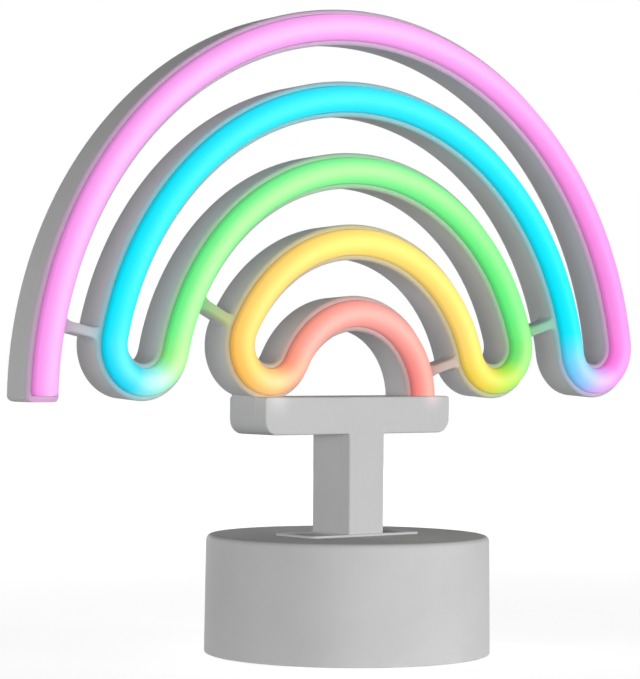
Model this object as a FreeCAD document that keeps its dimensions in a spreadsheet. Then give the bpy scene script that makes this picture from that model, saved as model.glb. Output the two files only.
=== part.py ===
import FreeCAD, Part
import math
import os
import re
import Sketcher

# Neon rainbow sign on a round battery base.
# Millimetres, +Z up, origin on the floor at the middle of the base, the sign faces -Y.

SIZES = {
    # round base
    "base_bottom_diameter": 98,
    "base_top_diameter": 97,
    "base_height": 41.1,
    "foot_lift": 0.8,
    "shell_wall": 2.4,
    "shell_top": 2.6,
    "shell_edge_round": 1.8,
    "collar_length": 48,
    "collar_width": 21.8,
    "collar_height": 0.8,
    "collar_corner": 3,
    # bar, stem and foot of the sign
    "stem_width": 15.4,
    "stem_depth": 20.2,
    "stem_height": 34,
    "bar_left": 43.7,
    "bar_right": 37.3,
    "bar_height": 11.5,
    "bar_rise": 1.2,
    "bar_corner": 5,
    "neck_length": 6.2,
    "neck_rise": 1,
    "cover_depth": 5.9,
    "sign_wall": 2,
    "foot_width": 13,
    "foot_depth": 17.8,
    "foot_length": 12.8,
    "socket_gap": 0.15,
    "socket_wall": 2,
    # neon tube and its channel
    "red_radius": 29.5,
    "arc_pitch": 24.4,
    "channel_width": 12.3,
    "channel_back_width": 10.9,
    "channel_depth": 13.6,
    "channel_floor": 2,
    "end_rim": 1.9,
    "tube_width": 8.75,
    "tube_lift": 0.3,
    "tube_seat": 3.2,
    "fit_gap": 0.1,
    "slot_width": 6.4,
    "strip_width": 5,
    "strip_thickness": 0.5,
    "led_length": 3.2,
    "led_width": 2.8,
    "led_height": 1.2,
    "led_spacing": 10,
    # bridges between the arches; each height is that of the bridge's middle above the middle of the arches
    "bridge_thickness": 3.4,
    "bridge_depth": 9,
    "pink_blue_bridge": 23,
    "blue_green_bridge": 25.3,
    "green_yellow_bridge": 29.4,
    "yellow_red_bridge": 11.3,
    # screws
    "screw_shank": 2.4,
    "screw_bore": 2.5,
    "screw_passage": 2.8,
    "screw_head": 4.8,
    "screw_head_height": 1.8,
    "head_recess": 5.2,
    "screw_boss": 5.4,
    "cover_screw_inset": 4.5,
    "cover_screw_bite": 4,
    "stem_screw_drop": 17,
    "stem_screw_offset": 2.6,
    "lock_screw_offset": 2.5,
    "lock_screw_spread": 5.5,
    "lock_screw_length": 9,
    "lock_plate_length": 24,
    "lock_plate_width": 26,
    "lock_plate_thickness": 2,
    # leads
    "lead_diameter": 1.3,
    "lead_bend": 2.2,
    "lead_solder_length": 3.5,
    "lead_spacing": 1.5,
    "upper_lead_drop": 4.4,
    "lower_lead_drop": 6.8,
    "near_lead_offset": 1.6,
    "far_lead_offset": 4,
    "lead_slot_margin": 0.35,
    "plus_landing": 3.9,
    "minus_landing": 6.5,
    "battery_landing": 1.3,
    # bottom cover and battery bay
    "cover_gap": 0.3,
    "cover_inset": 0.4,
    "cover_plate": 2.2,
    "post_diameter": 7,
    "post_inset": 7.3,
    "post_angle": 30,
    "post_bore_depth": 9,
    "base_screw_length": 7,
    "cell_diameter": 14.3,
    "cell_length": 49.2,
    "cell_nub_diameter": 5.4,
    "cell_nub_length": 1.3,
    "cell_pitch": 15.2,
    "cell_floor_gap": 0.3,
    "contact_room": 3.55,
    "contact_plate": 0.4,
    "contact_width": 9,
    "contact_height": 12,
    "contact_tab_width": 4,
    "contact_tab_length": 3.9,
    "bay_wall": 2.2,
    "bay_roof": 1.9,
    "door_ledge": 1.2,
    "door_gap": 0.3,
    "door_thickness": 2,
    "door_pin_diameter": 1.2,
    "door_pin_length": 1.1,
    "pin_clearance": 0.05,
    "door_grip_width": 16,
    "door_grip_length": 1.2,
    "door_grip_depth": 0.5,
    "door_grip_inset": 4.8,
    "door_grip_pitch": 2.4,
    "rubber_foot_diameter": 9,
    # circuit board, switch and power inlet
    "board_length": 42,
    "board_width": 23,
    "board_thickness": 1.6,
    "board_post_height": 4.9,
    "board_post_spread": 18,
    "board_post_setback": 5,
    "board_screw_length": 5,
    "switch_offset": 11,
    "switch_length": 9,
    "switch_width": 5,
    "switch_height": 4.4,
    "switch_reach": 3.2,
    "switch_wall_gap": 0.3,
    "switch_groove_depth": 1.6,
    "knob_length": 4.4,
    "knob_height": 3,
    "knob_reach": 5,
    "knob_travel": 4,
    "knob_gap": 0.3,
    "tongue_length": 4,
    "tongue_height": 1.8,
    "inlet_offset": 11,
    "inlet_length": 7.5,
    "inlet_width": 6.5,
    "inlet_height": 2.8,
    "inlet_wall": 0.35,
    "inlet_reach": 5.5,
    "inlet_tongue_length": 5.2,
    "inlet_tongue_width": 5,
    "inlet_tongue_height": 0.8,
    "opening_margin": 0.4,
    "opening_depth": 14,
    "chip_length": 5,
    "chip_width": 4,
    "chip_height": 1.5,
    "capacitor_offset": 10,
    "capacitor_diameter": 5,
    "capacitor_height": 7,
    "resistor_length": 2,
    "resistor_width": 1.2,
    "resistor_height": 0.6,
    "resistor_pitch": 3,
    "resistor_offset": 7.5,
}
COLOURS = ["pink", "blue", "green", "yellow", "red"]
RESISTOR_COUNT = 4
CELL_COUNT = 3
GRIP_COUNT = 3

# Places that several pieces share, as formulas of the sizes
ARCH_CENTRE = "(base_height + collar_height + stem_height + bar_height)"
RIM = "(cover_depth - stem_depth / 2)"
STEM_FRONT = "(0 - cover_depth)"
STEM_BACK = "(stem_depth - cover_depth)"
STEM_FOOT = "(0 - bar_height - stem_height)"
CHANNEL_FLOOR = "(channel_depth - channel_floor)"
COVER_BOTTOM = "(foot_lift + cover_inset)"
COVER_TOP = "(foot_lift + cover_inset + cover_plate)"
COVER_RADIUS = "(base_bottom_diameter / 2 - shell_wall - cover_gap)"
BAY_LENGTH = "(cell_length + cell_nub_length + 2 * contact_room)"
BAY_WIDTH = f"({CELL_COUNT} * cell_pitch)"
BAY_HEIGHT = "(cell_diameter + 2 * cell_floor_gap)"
BAY_TOP = f"({COVER_TOP} + {BAY_HEIGHT} + bay_roof)"
CELL_AXIS = f"({COVER_TOP} + cell_floor_gap + cell_diameter / 2)"
DOOR_OPENING_LENGTH = f"({BAY_LENGTH} + 2 * door_ledge)"
DOOR_OPENING_WIDTH = f"({BAY_WIDTH} + 2 * door_ledge)"
DOOR_PIN_Y = f"(door_gap + door_thickness / 2 - {DOOR_OPENING_LENGTH} / 2)"
DOOR_PIN_Z = f"({COVER_BOTTOM} + door_thickness / 2)"
BOARD_BOTTOM = f"({BAY_TOP} + board_post_height)"
BOARD_TOP = f"({BAY_TOP} + board_post_height + board_thickness)"
SWITCH_TOP = f"({BOARD_TOP} + switch_height)"
SOCKET_BOTTOM = "(base_height + collar_height - foot_length)"
LOCK_PLATE_BOTTOM = f"({SOCKET_BOTTOM} - lock_plate_thickness)"
LEAD_Y = f"({CHANNEL_FLOOR} - strip_thickness - lead_diameter / 2)"
LEAD_SLOT_LENGTH = "(far_lead_offset - near_lead_offset + lead_diameter + 2 * lead_slot_margin)"
LEAD_SLOT_WIDTH = "(lead_diameter + 2 * lead_slot_margin)"
TAB_BOTTOM = f"({CELL_AXIS} + contact_height / 2 - contact_plate - fit_gap)"
KNOB_AXIS = f"({BOARD_TOP} + switch_height / 2)"
KNOB_START = "(0 - switch_offset - knob_travel / 2)"
SIDES = (-1, 1)


def wall_inside(height):
    """Inner radius of the sloping base wall at a height."""
    slope = "((base_top_diameter - base_bottom_diameter) / 2 / (base_height - foot_lift - shell_top))"
    return f"(base_bottom_diameter / 2 - shell_wall + {slope} * ({height} - foot_lift))"


# The switch stands just clear of the wall, and the board reaches back from it
NEAR_WALL = f"min({wall_inside(BOARD_TOP)}; {wall_inside(SWITCH_TOP)})"
SWITCH_FACE = f"(sqrt({NEAR_WALL}^2 - (switch_offset + switch_length / 2)^2) - switch_wall_gap)"
BOARD_BACK = f"({SWITCH_FACE} - switch_reach)"
BOARD_FRONT = f"({BOARD_BACK} - board_width)"
POST_RADIUS = "(min(base_bottom_diameter; base_top_diameter) / 2 - post_inset)"
POST_X = f"({POST_RADIUS} * cos(post_angle * 1deg))"
POST_Y = f"({POST_RADIUS} * sin(post_angle * 1deg))"
POSTS = [(f"{side} * {POST_X}", f"{end} * {POST_Y}") for side in SIDES for end in SIDES]
# Each foot stands halfway between the door and the edge of the bottom cover
FEET = [(f"{side} * ({DOOR_OPENING_WIDTH} / 2 + {COVER_RADIUS}) / 2", "0") for side in SIDES]
FEET += [("0", f"{side} * ({DOOR_OPENING_LENGTH} / 2 + {COVER_RADIUS}) / 2") for side in SIDES]
BOARD_POSTS = [(f"{side} * board_post_spread", f"{BOARD_FRONT} + board_post_setback") for side in SIDES]
COVER_SCREWS = [
    ("left", "(cover_screw_inset - bar_left)", "(0 - bar_height / 2)"),
    ("right", "(bar_right - cover_screw_inset)", "(0 - bar_height / 2)"),
    ("stem", "(0 - stem_screw_offset)", "(0 - bar_height - stem_screw_drop)"),
]

doc = FreeCAD.newDocument("NeonRainbowSign")
sheet = doc.addObject("Spreadsheet::Sheet", "Dims")
for row, (alias, value) in enumerate(SIZES.items(), start=1):
    sheet.set(f"A{row}", alias.replace("_", " "))
    sheet.set(f"B{row}", str(value))
    sheet.setAlias(f"B{row}", alias)
doc.recompute()


def linked(formula):
    """A formula of plain size names, with each name pointed at its cell."""
    return re.sub(r"[a-z_]+", lambda m: "Dims." + m[0] if m[0] in SIZES else m[0], str(formula))


def number(formula):
    """The present value of a formula."""
    return float(sheet.evalExpression(linked(formula)))


def bind(item, **formulas):
    """Tie properties of an object to formulas of the sizes."""
    for prop, formula in formulas.items():
        item.setExpression(prop.replace("__", "."), linked(formula))
    return item


def place(item, x, y, z, rotation=None):
    """Turn an object as asked and tie its place to formulas."""
    if rotation:
        item.Placement = FreeCAD.Placement(FreeCAD.Vector(), rotation)
    return bind(item, Placement__Base__x=x, Placement__Base__y=y, Placement__Base__z=z)


def box(name, x, y, z, length, width, height):
    """A box from its lowest corner and its three sizes."""
    item = doc.addObject("Part::Box", name)
    bind(item, Length=length, Width=width, Height=height)
    return place(item, x, y, z)


def middle_box(name, x, y, z, length, width, height):
    """A box standing at height z with its middle over x, y."""
    return box(name, f"{x} - ({length}) / 2", f"{y} - ({width}) / 2", z, length, width, height)


ALONG_Y = FreeCAD.Rotation(FreeCAD.Vector(1, 0, 0), -90)
ALONG_X = FreeCAD.Rotation(FreeCAD.Vector(0, 1, 0), 90)


def rod(name, diameter, height, x, y, z, direction=None):
    """A cylinder from the middle of its first end, upright unless a direction is given."""
    item = doc.addObject("Part::Cylinder", name)
    bind(item, Radius=f"({diameter}) / 2", Height=height)
    return place(item, x, y, z, direction)


def fuse(name, items):
    item = doc.addObject("Part::MultiFuse", name)
    item.Shapes = items
    item.Refine = True
    return item


def cut(name, base, tools):
    """The base less the tools; the cut has to take material away."""
    tool = tools[0] if len(tools) == 1 else fuse(f"{name}_tools", tools)
    item = doc.addObject("Part::Cut", name)
    item.Base = base
    item.Tool = tool
    doc.recompute()
    if item.Shape.Volume >= base.Shape.Volume:
        raise RuntimeError(f"{name}: nothing was cut")
    return item


def group(name, items):
    """Several equal solids kept as one named piece."""
    item = doc.addObject("Part::Compound", name)
    item.Links = items
    return item


def rounded(name, base, radius, chosen):
    """Round the edges of the base that the test chooses."""
    doc.recompute()
    item = doc.addObject("Part::Fillet", name)
    item.Base = base
    size = number(radius)
    item.Edges = [(i, size, size) for i, edge in enumerate(base.Shape.Edges, start=1) if chosen(edge)]
    return item


EDGE_TOLERANCE = 0.01


def is_level(edge, height):
    """True for an edge whose middle lies at a height."""
    return abs(edge.CenterOfMass.z - height) < EDGE_TOLERANCE


def is_along(edge, axis):
    """True for a straight edge that runs along an axis."""
    run = edge.Vertexes[-1].Point - edge.Vertexes[0].Point
    return run.Length > 0 and run.cross(axis).Length < EDGE_TOLERANCE


Y_AXIS = FreeCAD.Vector(0, 1, 0)
Z_AXIS = FreeCAD.Vector(0, 0, 1)


def new_body(name, y="0", z="0"):
    body = doc.addObject("PartDesign::Body", name)
    return bind(body, Placement__Base__y=y, Placement__Base__z=z)


def new_sketch(body, name, plane, height="0"):
    """A sketch on one of the body's own planes, moved along the plane's normal."""
    sketch = body.newObject("Sketcher::SketchObject", name)
    support = next(f for f in body.Origin.OriginFeatures if f.Role == plane)
    sketch.AttachmentSupport = [(support, "")]
    sketch.MapMode = "FlatFace"
    sketch.setExpression("AttachmentOffset.Base.z", linked(height))
    return sketch


def hold(sketch, kind, where, formula):
    """Add a measured constraint and tie it to a formula."""
    index = sketch.addConstraint(Sketcher.Constraint(kind, *where, number(formula)))
    sketch.setExpression(f"Constraints[{index}]", linked(formula))


def hold_point(sketch, geometry, point, x, y):
    hold(sketch, "DistanceX", (-1, 1, geometry, point), x)
    hold(sketch, "DistanceY", (-1, 1, geometry, point), y)


def polygon(body, name, plane, corners, height="0"):
    """A closed outline through corners given as pairs of formulas."""
    sketch = new_sketch(body, name, plane, height)
    points = [FreeCAD.Vector(number(x), number(y), 0) for x, y in corners]
    count = len(points)
    for i in range(count):
        sketch.addGeometry(Part.LineSegment(points[i], points[(i + 1) % count]), False)
    for i in range(count):
        sketch.addConstraint(Sketcher.Constraint("Coincident", i, 2, (i + 1) % count, 1))
    for i, (x, y) in enumerate(corners):
        hold_point(sketch, i, 1, x, y)
    return sketch


# Serpentine of five arches and four U-turns
def arc_radius(index):
    return f"(red_radius + {len(COLOURS) - 1 - index} * arc_pitch)"


TURN_HEIGHT = "((channel_width + arc_pitch) / 2)"


def turn_angle(index):
    """Angle above the horizontal of the U-turn between an arch and the next one inside it."""
    middle = number(arc_radius(index)) - number("arc_pitch") / 2
    return math.asin(number(TURN_HEIGHT) / middle)


def foot_angle(index, height):
    """Angle above the horizontal of a free end of the tube that stops at a height."""
    return math.asin(number(height) / number(arc_radius(index)))


def arch_angles(index, start_height, end_height):
    """First angle, on the right, and last angle, on the left, of an arch."""
    last_index = len(COLOURS) - 1
    right = turn_angle(index - index % 2) if index < last_index else foot_angle(index, end_height)
    left = turn_angle(index - 1 + index % 2) if index > 0 else foot_angle(index, start_height)
    return right, math.pi - left


def turn_circle(index):
    """Middle and first angle of a U-turn: even ones lie on the right, odd ones on the left."""
    middle = number(arc_radius(index)) - number("arc_pitch") / 2
    angle = turn_angle(index) if index % 2 == 0 else math.pi - turn_angle(index)
    centre = FreeCAD.Vector(middle * math.cos(angle), middle * math.sin(angle), 0)
    first = angle + math.pi if index % 2 == 0 else angle
    return centre, first


def serpentine(body, name, start_height, end_height):
    """The middle line of the tube, from the foot of the pink arch to the foot of the red one."""
    sketch = new_sketch(body, name, "XZ_Plane")
    upward = FreeCAD.Vector(0, 0, 1)
    arches = range(len(COLOURS))
    turns = range(len(COLOURS) - 1)
    for i in arches:
        circle = Part.Circle(FreeCAD.Vector(), upward, number(arc_radius(i)))
        sketch.addGeometry(Part.ArcOfCircle(circle, *arch_angles(i, start_height, end_height)), False)
    for i in turns:
        centre, first = turn_circle(i)
        circle = Part.Circle(centre, upward, number("arc_pitch") / 2)
        sketch.addGeometry(Part.ArcOfCircle(circle, first, first + math.pi), False)
    for i in arches:
        sketch.addConstraint(Sketcher.Constraint("Coincident", i, 3, -1, 1))
        hold(sketch, "Radius", (i,), arc_radius(i))
    for i in turns:
        turn = len(COLOURS) + i
        outer_end, inner_end = (2, 1) if i % 2 == 0 else (1, 2)
        arch_end = 1 if i % 2 == 0 else 2
        sketch.addConstraint(Sketcher.Constraint("Tangent", turn, outer_end, i, arch_end))
        sketch.addConstraint(Sketcher.Constraint("Tangent", turn, inner_end, i + 1, arch_end))
        hold(sketch, "DistanceY", (-1, 1, turn, 3), TURN_HEIGHT)
    hold(sketch, "DistanceY", (-1, 1, 0, 2), start_height)
    hold(sketch, "DistanceY", (-1, 1, len(COLOURS) - 1, 1), end_height)
    return sketch


def start_x(start_height):
    return f"(0 - sqrt({arc_radius(0)}^2 - ({start_height})^2))"


def swept(body, name, profile, start_height, end_height):
    """The body's section carried along the serpentine."""
    path = serpentine(body, f"{name}_path", start_height, end_height)
    doc.recompute()
    pipe = body.newObject("PartDesign::AdditivePipe", f"{name}_pipe")
    pipe.Profile = (profile, [""])
    pipe.Spine = (path, [""])
    pipe.Mode = "Binormal"
    pipe.Binormal = FreeCAD.Vector(0, 1, 0)
    doc.recompute()
    length = path.Shape.Length
    share = pipe.Shape.Volume / (Part.Face(profile.Shape).Area * length)
    print(f"{name}: path {length:.1f} mm, volume / (section x length) {share:.4f}")
    return body


def swept_polygon(name, half_sections, start_height, end_height="0"):
    """A body of mirrored corners, given as half width and depth, carried along the serpentine."""
    body = new_body(name, RIM, ARCH_CENTRE)
    middle = start_x(start_height)
    right = [(f"{middle} + ({half})", depth) for half, depth in half_sections]
    left = [(f"{middle} - ({half})", depth) for half, depth in reversed(half_sections)]
    profile = polygon(body, f"{name}_section", "XY_Plane", right + left, start_height)
    return swept(body, name, profile, start_height, end_height)


def sign_box(name, x, y, z, length, width, height):
    """A box placed from the middle of the arches in the plane of the channel's rim."""
    return box(name, x, f"{RIM} + {y}", f"{ARCH_CENTRE} + {z}", length, width, height)


def sign_rod(name, diameter, depth, x, y, z):
    """A rod along Y placed from the middle of the arches in the plane of the channel's rim."""
    return rod(name, diameter, depth, x, f"{RIM} + {y}", f"{ARCH_CENTRE} + {z}", ALONG_Y)


def bar_and_stem(name, front, depth):
    """The T of the bar and stem between two depths, with the bar's lower corners rounded.

    The bar rises a little above the middle of the arches, so the lowest U-turn sinks into it."""
    bar = sign_box(f"{name}_bar", "0 - bar_left", front, "0 - bar_height", "bar_left + bar_right", depth,
                   "bar_height + bar_rise")
    low = number(f"{ARCH_CENTRE} - bar_height")
    bar = rounded(f"{name}_bar_round", bar, "bar_corner",
                  lambda e: is_along(e, Y_AXIS) and is_level(e, low))
    stem = sign_box(f"{name}_stem", "0 - stem_width / 2", front, STEM_FOOT, "stem_width", depth,
                    "stem_height + bar_height / 2")
    return [bar, stem]


def bar_and_stem_cavity(name, front, depth):
    """The hollow inside that T."""
    bar = sign_box(f"{name}_bar_cavity", "sign_wall - bar_left", front, "sign_wall - bar_height",
                   "bar_left + bar_right - 2 * sign_wall", depth, "bar_height - 2 * sign_wall")
    low = number(f"{ARCH_CENTRE} - bar_height + sign_wall")
    bar = rounded(f"{name}_bar_cavity_round", bar, "bar_corner - sign_wall",
                  lambda e: is_along(e, Y_AXIS) and is_level(e, low))
    stem = sign_box(f"{name}_stem_cavity", "sign_wall - stem_width / 2", front, STEM_FOOT,
                    "stem_width - 2 * sign_wall", depth, "stem_height + bar_height / 2")
    return [bar, stem]


def bridge(name, index, height):
    """A rib from one arch to the next one inside it, on a line through the middle of the arches."""
    angle = f"asin({height} / ({arc_radius(index)} - arc_pitch / 2))"
    # each bridge lies on the side where its two arches have no U-turn
    side, start = (-1, arc_radius(index)) if index % 2 == 0 else (1, arc_radius(index + 1))
    x = f"{side} * ({start} * cos({angle}) + bridge_thickness / 2 * sin({angle}))"
    z = f"{start} * sin({angle}) - bridge_thickness / 2 * cos({angle})"
    item = sign_box(name, x, "0", z, "arc_pitch", "bridge_depth", "bridge_thickness")
    item.Placement = FreeCAD.Placement(item.Placement.Base, FreeCAD.Rotation(Y_AXIS, 1))
    return bind(item, Placement__Rotation__Angle=f"{-side} * {angle}")


def sign_housing():
    channel = swept_polygon("channel", [("channel_width / 2", "0"),
                                        ("channel_back_width / 2", "channel_depth")], "0")
    groove = swept_polygon("groove", [("tube_width / 2 + fit_gap", "0 - tube_width"),
                                      ("tube_width / 2 + fit_gap", "tube_seat"),
                                      ("slot_width / 2", "tube_seat"),
                                      ("slot_width / 2", CHANNEL_FLOOR)], "end_rim")
    bridges = []
    for i, colours in enumerate(["pink_blue", "blue_green", "green_yellow", "yellow_red"]):
        bridges.append(bridge(f"{colours}_rib", i, f"{colours}_bridge"))
    # the left end of the bar runs up into the wall of the lowest U-turn
    neck = sign_box("bar_neck", "0 - bar_left", "0", "0", "neck_length", "channel_depth",
                    "bar_rise + neck_rise")
    foot = middle_box("foot_block", "0", "0", SOCKET_BOTTOM, "foot_width", "foot_depth",
                      "foot_length + sign_wall")
    behind_rim = sign_box("behind_rim", "0 - stem_width / 2", "0", STEM_FOOT, "stem_width", STEM_BACK,
                          "sign_wall")
    foot_top = sign_box("foot_top_space", "0 - stem_width / 2", "0 - stem_depth", STEM_FOOT, "stem_width",
                        "stem_depth", "2 * sign_wall")
    foot = cut("foot", foot, [foot_top])
    shell = cut("bar_stem_shell", fuse("bar_stem_block", bar_and_stem("rear", "0", STEM_BACK)),
                bar_and_stem_cavity("rear", "0", f"{STEM_BACK} - sign_wall"))
    bosses = [sign_rod(f"{side}_boss", "screw_boss", STEM_BACK, x, "0", z) for side, x, z in COVER_SCREWS]
    solid = fuse("housing_solid", [channel, shell, neck, foot, behind_rim] + bosses + bridges)
    passages = []
    for side, x, z in COVER_SCREWS:
        passages.append(sign_rod(f"{side}_passage", "screw_passage", STEM_BACK, x, "0", z))
        passages.append(sign_rod(f"{side}_recess", "head_recess", "sign_wall", x,
                                 f"{STEM_BACK} - sign_wall", z))
    strip_exit = sign_box("strip_exit", "red_radius - slot_width / 2", f"{LEAD_Y} - lead_diameter",
                          "0 - sign_wall", "slot_width", f"{CHANNEL_FLOOR} - {LEAD_Y} + lead_diameter",
                          "sign_wall + fit_gap")
    lead_slot = box("foot_lead_slot", "near_lead_offset - lead_diameter / 2 - lead_slot_margin",
                    f"{RIM} + {LEAD_Y} - {LEAD_SLOT_WIDTH} / 2", SOCKET_BOTTOM, LEAD_SLOT_LENGTH,
                    LEAD_SLOT_WIDTH, "foot_length + sign_wall")
    lock_bores = [rod(f"lock_bore_{i}", "screw_bore", "lock_screw_length + fit_gap", "0 - lock_screw_offset",
                      f"{side} * lock_screw_spread", SOCKET_BOTTOM) for i, side in enumerate(SIDES)]
    return cut("sign_housing", solid, [groove, strip_exit, lead_slot] + passages + lock_bores)


def stem_front_cover():
    block = fuse("front_block", bar_and_stem("front", STEM_FRONT, "cover_depth"))
    hollow = cut("front_shell", block, bar_and_stem_cavity("front", f"{STEM_FRONT} + sign_wall",
                                                           "cover_depth - sign_wall"))
    bosses = [sign_rod(f"front_{side}_boss", "screw_boss", "cover_depth - sign_wall / 2", x,
                       f"{STEM_FRONT} + sign_wall / 2", z) for side, x, z in COVER_SCREWS]
    foot_wall = sign_box("front_foot_wall", "0 - stem_width / 2", STEM_FRONT, STEM_FOOT, "stem_width",
                         "cover_depth", "sign_wall")
    bores = [sign_rod(f"front_{side}_bore", "screw_bore", "cover_screw_bite + fit_gap", x,
                      "0 - cover_screw_bite - fit_gap", z) for side, x, z in COVER_SCREWS]
    return cut("stem_front_cover", fuse("front_solid", [hollow, foot_wall] + bosses), bores)


def neon_diffuser():
    """Milky tube: a round front on straight sides that stand on the channel's ledges."""
    start = "(end_rim + fit_gap)"
    # the last end leans with the arch, so its inner edge is the one that clears the bar
    end = "((bar_rise + fit_gap) * red_radius / (red_radius - tube_width / 2))"
    body = new_body("neon_diffuser", RIM, ARCH_CENTRE)
    sketch = new_sketch(body, "diffuser_section", "XY_Plane", start)
    middle = start_x(start)
    half = "tube_width / 2"
    lift = "(0 - tube_lift)"
    centre = FreeCAD.Vector(number(middle), number(lift), 0)
    circle = Part.Circle(centre, FreeCAD.Vector(0, 0, 1), number(half))
    arc = Part.ArcOfCircle(circle, math.pi, 2 * math.pi)
    right_back = FreeCAD.Vector(number(f"{middle} + {half}"), number("tube_seat"), 0)
    left_back = FreeCAD.Vector(number(f"{middle} - {half}"), number("tube_seat"), 0)
    sketch.addGeometry(arc, False)
    sketch.addGeometry(Part.LineSegment(arc.EndPoint, right_back), False)
    sketch.addGeometry(Part.LineSegment(right_back, left_back), False)
    sketch.addGeometry(Part.LineSegment(left_back, arc.StartPoint), False)
    for first, first_end, second, second_end in ((0, 2, 1, 1), (1, 2, 2, 1), (2, 2, 3, 1), (3, 2, 0, 1)):
        sketch.addConstraint(Sketcher.Constraint("Coincident", first, first_end, second, second_end))
    hold_point(sketch, 0, 3, middle, lift)
    hold(sketch, "Radius", (0,), half)
    hold(sketch, "DistanceY", (-1, 1, 0, 1), lift)
    hold(sketch, "DistanceY", (-1, 1, 0, 2), lift)
    hold_point(sketch, 2, 1, f"{middle} + {half}", "tube_seat")
    hold_point(sketch, 2, 2, f"{middle} - {half}", "tube_seat")
    return swept(body, "diffuser", sketch, start, end)


def led_strip():
    return swept_polygon("led_strip", [("strip_width / 2", f"{CHANNEL_FLOOR} - strip_thickness"),
                                       ("strip_width / 2", CHANNEL_FLOOR)], "(end_rim + fit_gap)", "fit_gap")


def led(circle_x, circle_z, radius, angle):
    """One light on the strip, square to the middle line."""
    length, width, height = number("led_length"), number("led_width"), number("led_height")
    back = number(f"{CHANNEL_FLOOR} - strip_thickness")
    corner = FreeCAD.Vector(radius - width / 2, back - height, -length / 2)
    block = Part.makeBox(width, height, length, corner)
    block.rotate(FreeCAD.Vector(), FreeCAD.Vector(0, 1, 0), -math.degrees(angle))
    block.translate(FreeCAD.Vector(circle_x, number(RIM), number(ARCH_CENTRE) + circle_z))
    return block


def coloured_leds(index):
    """The lights under one arch and under its halves of the U-turns."""
    first, last = arch_angles(index, "end_rim", "0")
    radius = number(arc_radius(index))
    spacing = number("led_spacing")
    count = int((last - first) * radius / spacing)
    lights = [led(0, 0, radius, first + (last - first) * (n + 0.5) / count) for n in range(count)]
    for turn in (index - 1, index):
        if 0 <= turn < len(COLOURS) - 1:
            centre, start = turn_circle(turn)
            on_first_half = (turn % 2 == 0) == (turn == index - 1)
            angle = start + math.pi * (0.25 if on_first_half else 0.75)
            lights.append(led(centre.x, centre.y, number("arc_pitch") / 2, angle))
    item = doc.addObject("Part::Feature", f"leds_{COLOURS[index]}")
    item.Shape = Part.makeCompound(lights)
    return item


def wire_path(points, bend):
    """Straight runs through the points, joined by tangent arcs."""
    edges = []
    start = points[0]
    for before, corner, after in zip(points, points[1:], points[2:]):
        inward = (before - corner).normalize()
        outward = (after - corner).normalize()
        half_turn = (math.pi - inward.getAngle(outward)) / 2
        setback = bend * math.tan(half_turn)
        first = corner + inward * setback
        last = corner + outward * setback
        bisector = (inward + outward).normalize()
        middle = corner + bisector * (bend / math.cos(half_turn) - bend)
        edges.append(Part.LineSegment(start, first).toShape())
        edges.append(Part.Arc(first, middle, last).toShape())
        start = last
    edges.append(Part.LineSegment(start, points[-1]).toShape())
    return Part.Wire(edges)


def lead(name, points):
    """A round insulated lead along its route."""
    path = wire_path([FreeCAD.Vector(*[number(c) for c in p]) for p in points], number("lead_bend"))
    radius = number("lead_diameter") / 2
    first = path.Edges[0]
    start = first.FirstParameter
    circle = Part.makeCircle(radius, first.valueAt(start), first.tangentAt(start))
    item = doc.addObject("Part::Feature", name)
    item.Shape = path.makePipeShell([Part.Wire([circle])], True, False)
    share = item.Shape.Volume / (math.pi * radius ** 2 * path.Length)
    print(f"{name}: {path.Length:.1f} mm, volume / (section x length) {share:.4f}")
    return item


def sign_lead(name, across, drop, descent, landing):
    """From the strip's end through the bar and stem to the underside of the circuit board."""
    x = f"(red_radius - strip_width / 2 + {across})"
    y = f"({RIM} + {LEAD_Y})"
    run = f"({BAY_TOP} + lead_diameter + fit_gap)"
    bar_level = f"({ARCH_CENTRE} - {drop})"
    solder = f"({ARCH_CENTRE} + lead_solder_length)"
    return lead(name, [(x, y, solder), (x, y, bar_level), (descent, y, bar_level), (descent, y, run),
                       (descent, landing, run), (descent, landing, BOARD_BOTTOM)])


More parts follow.
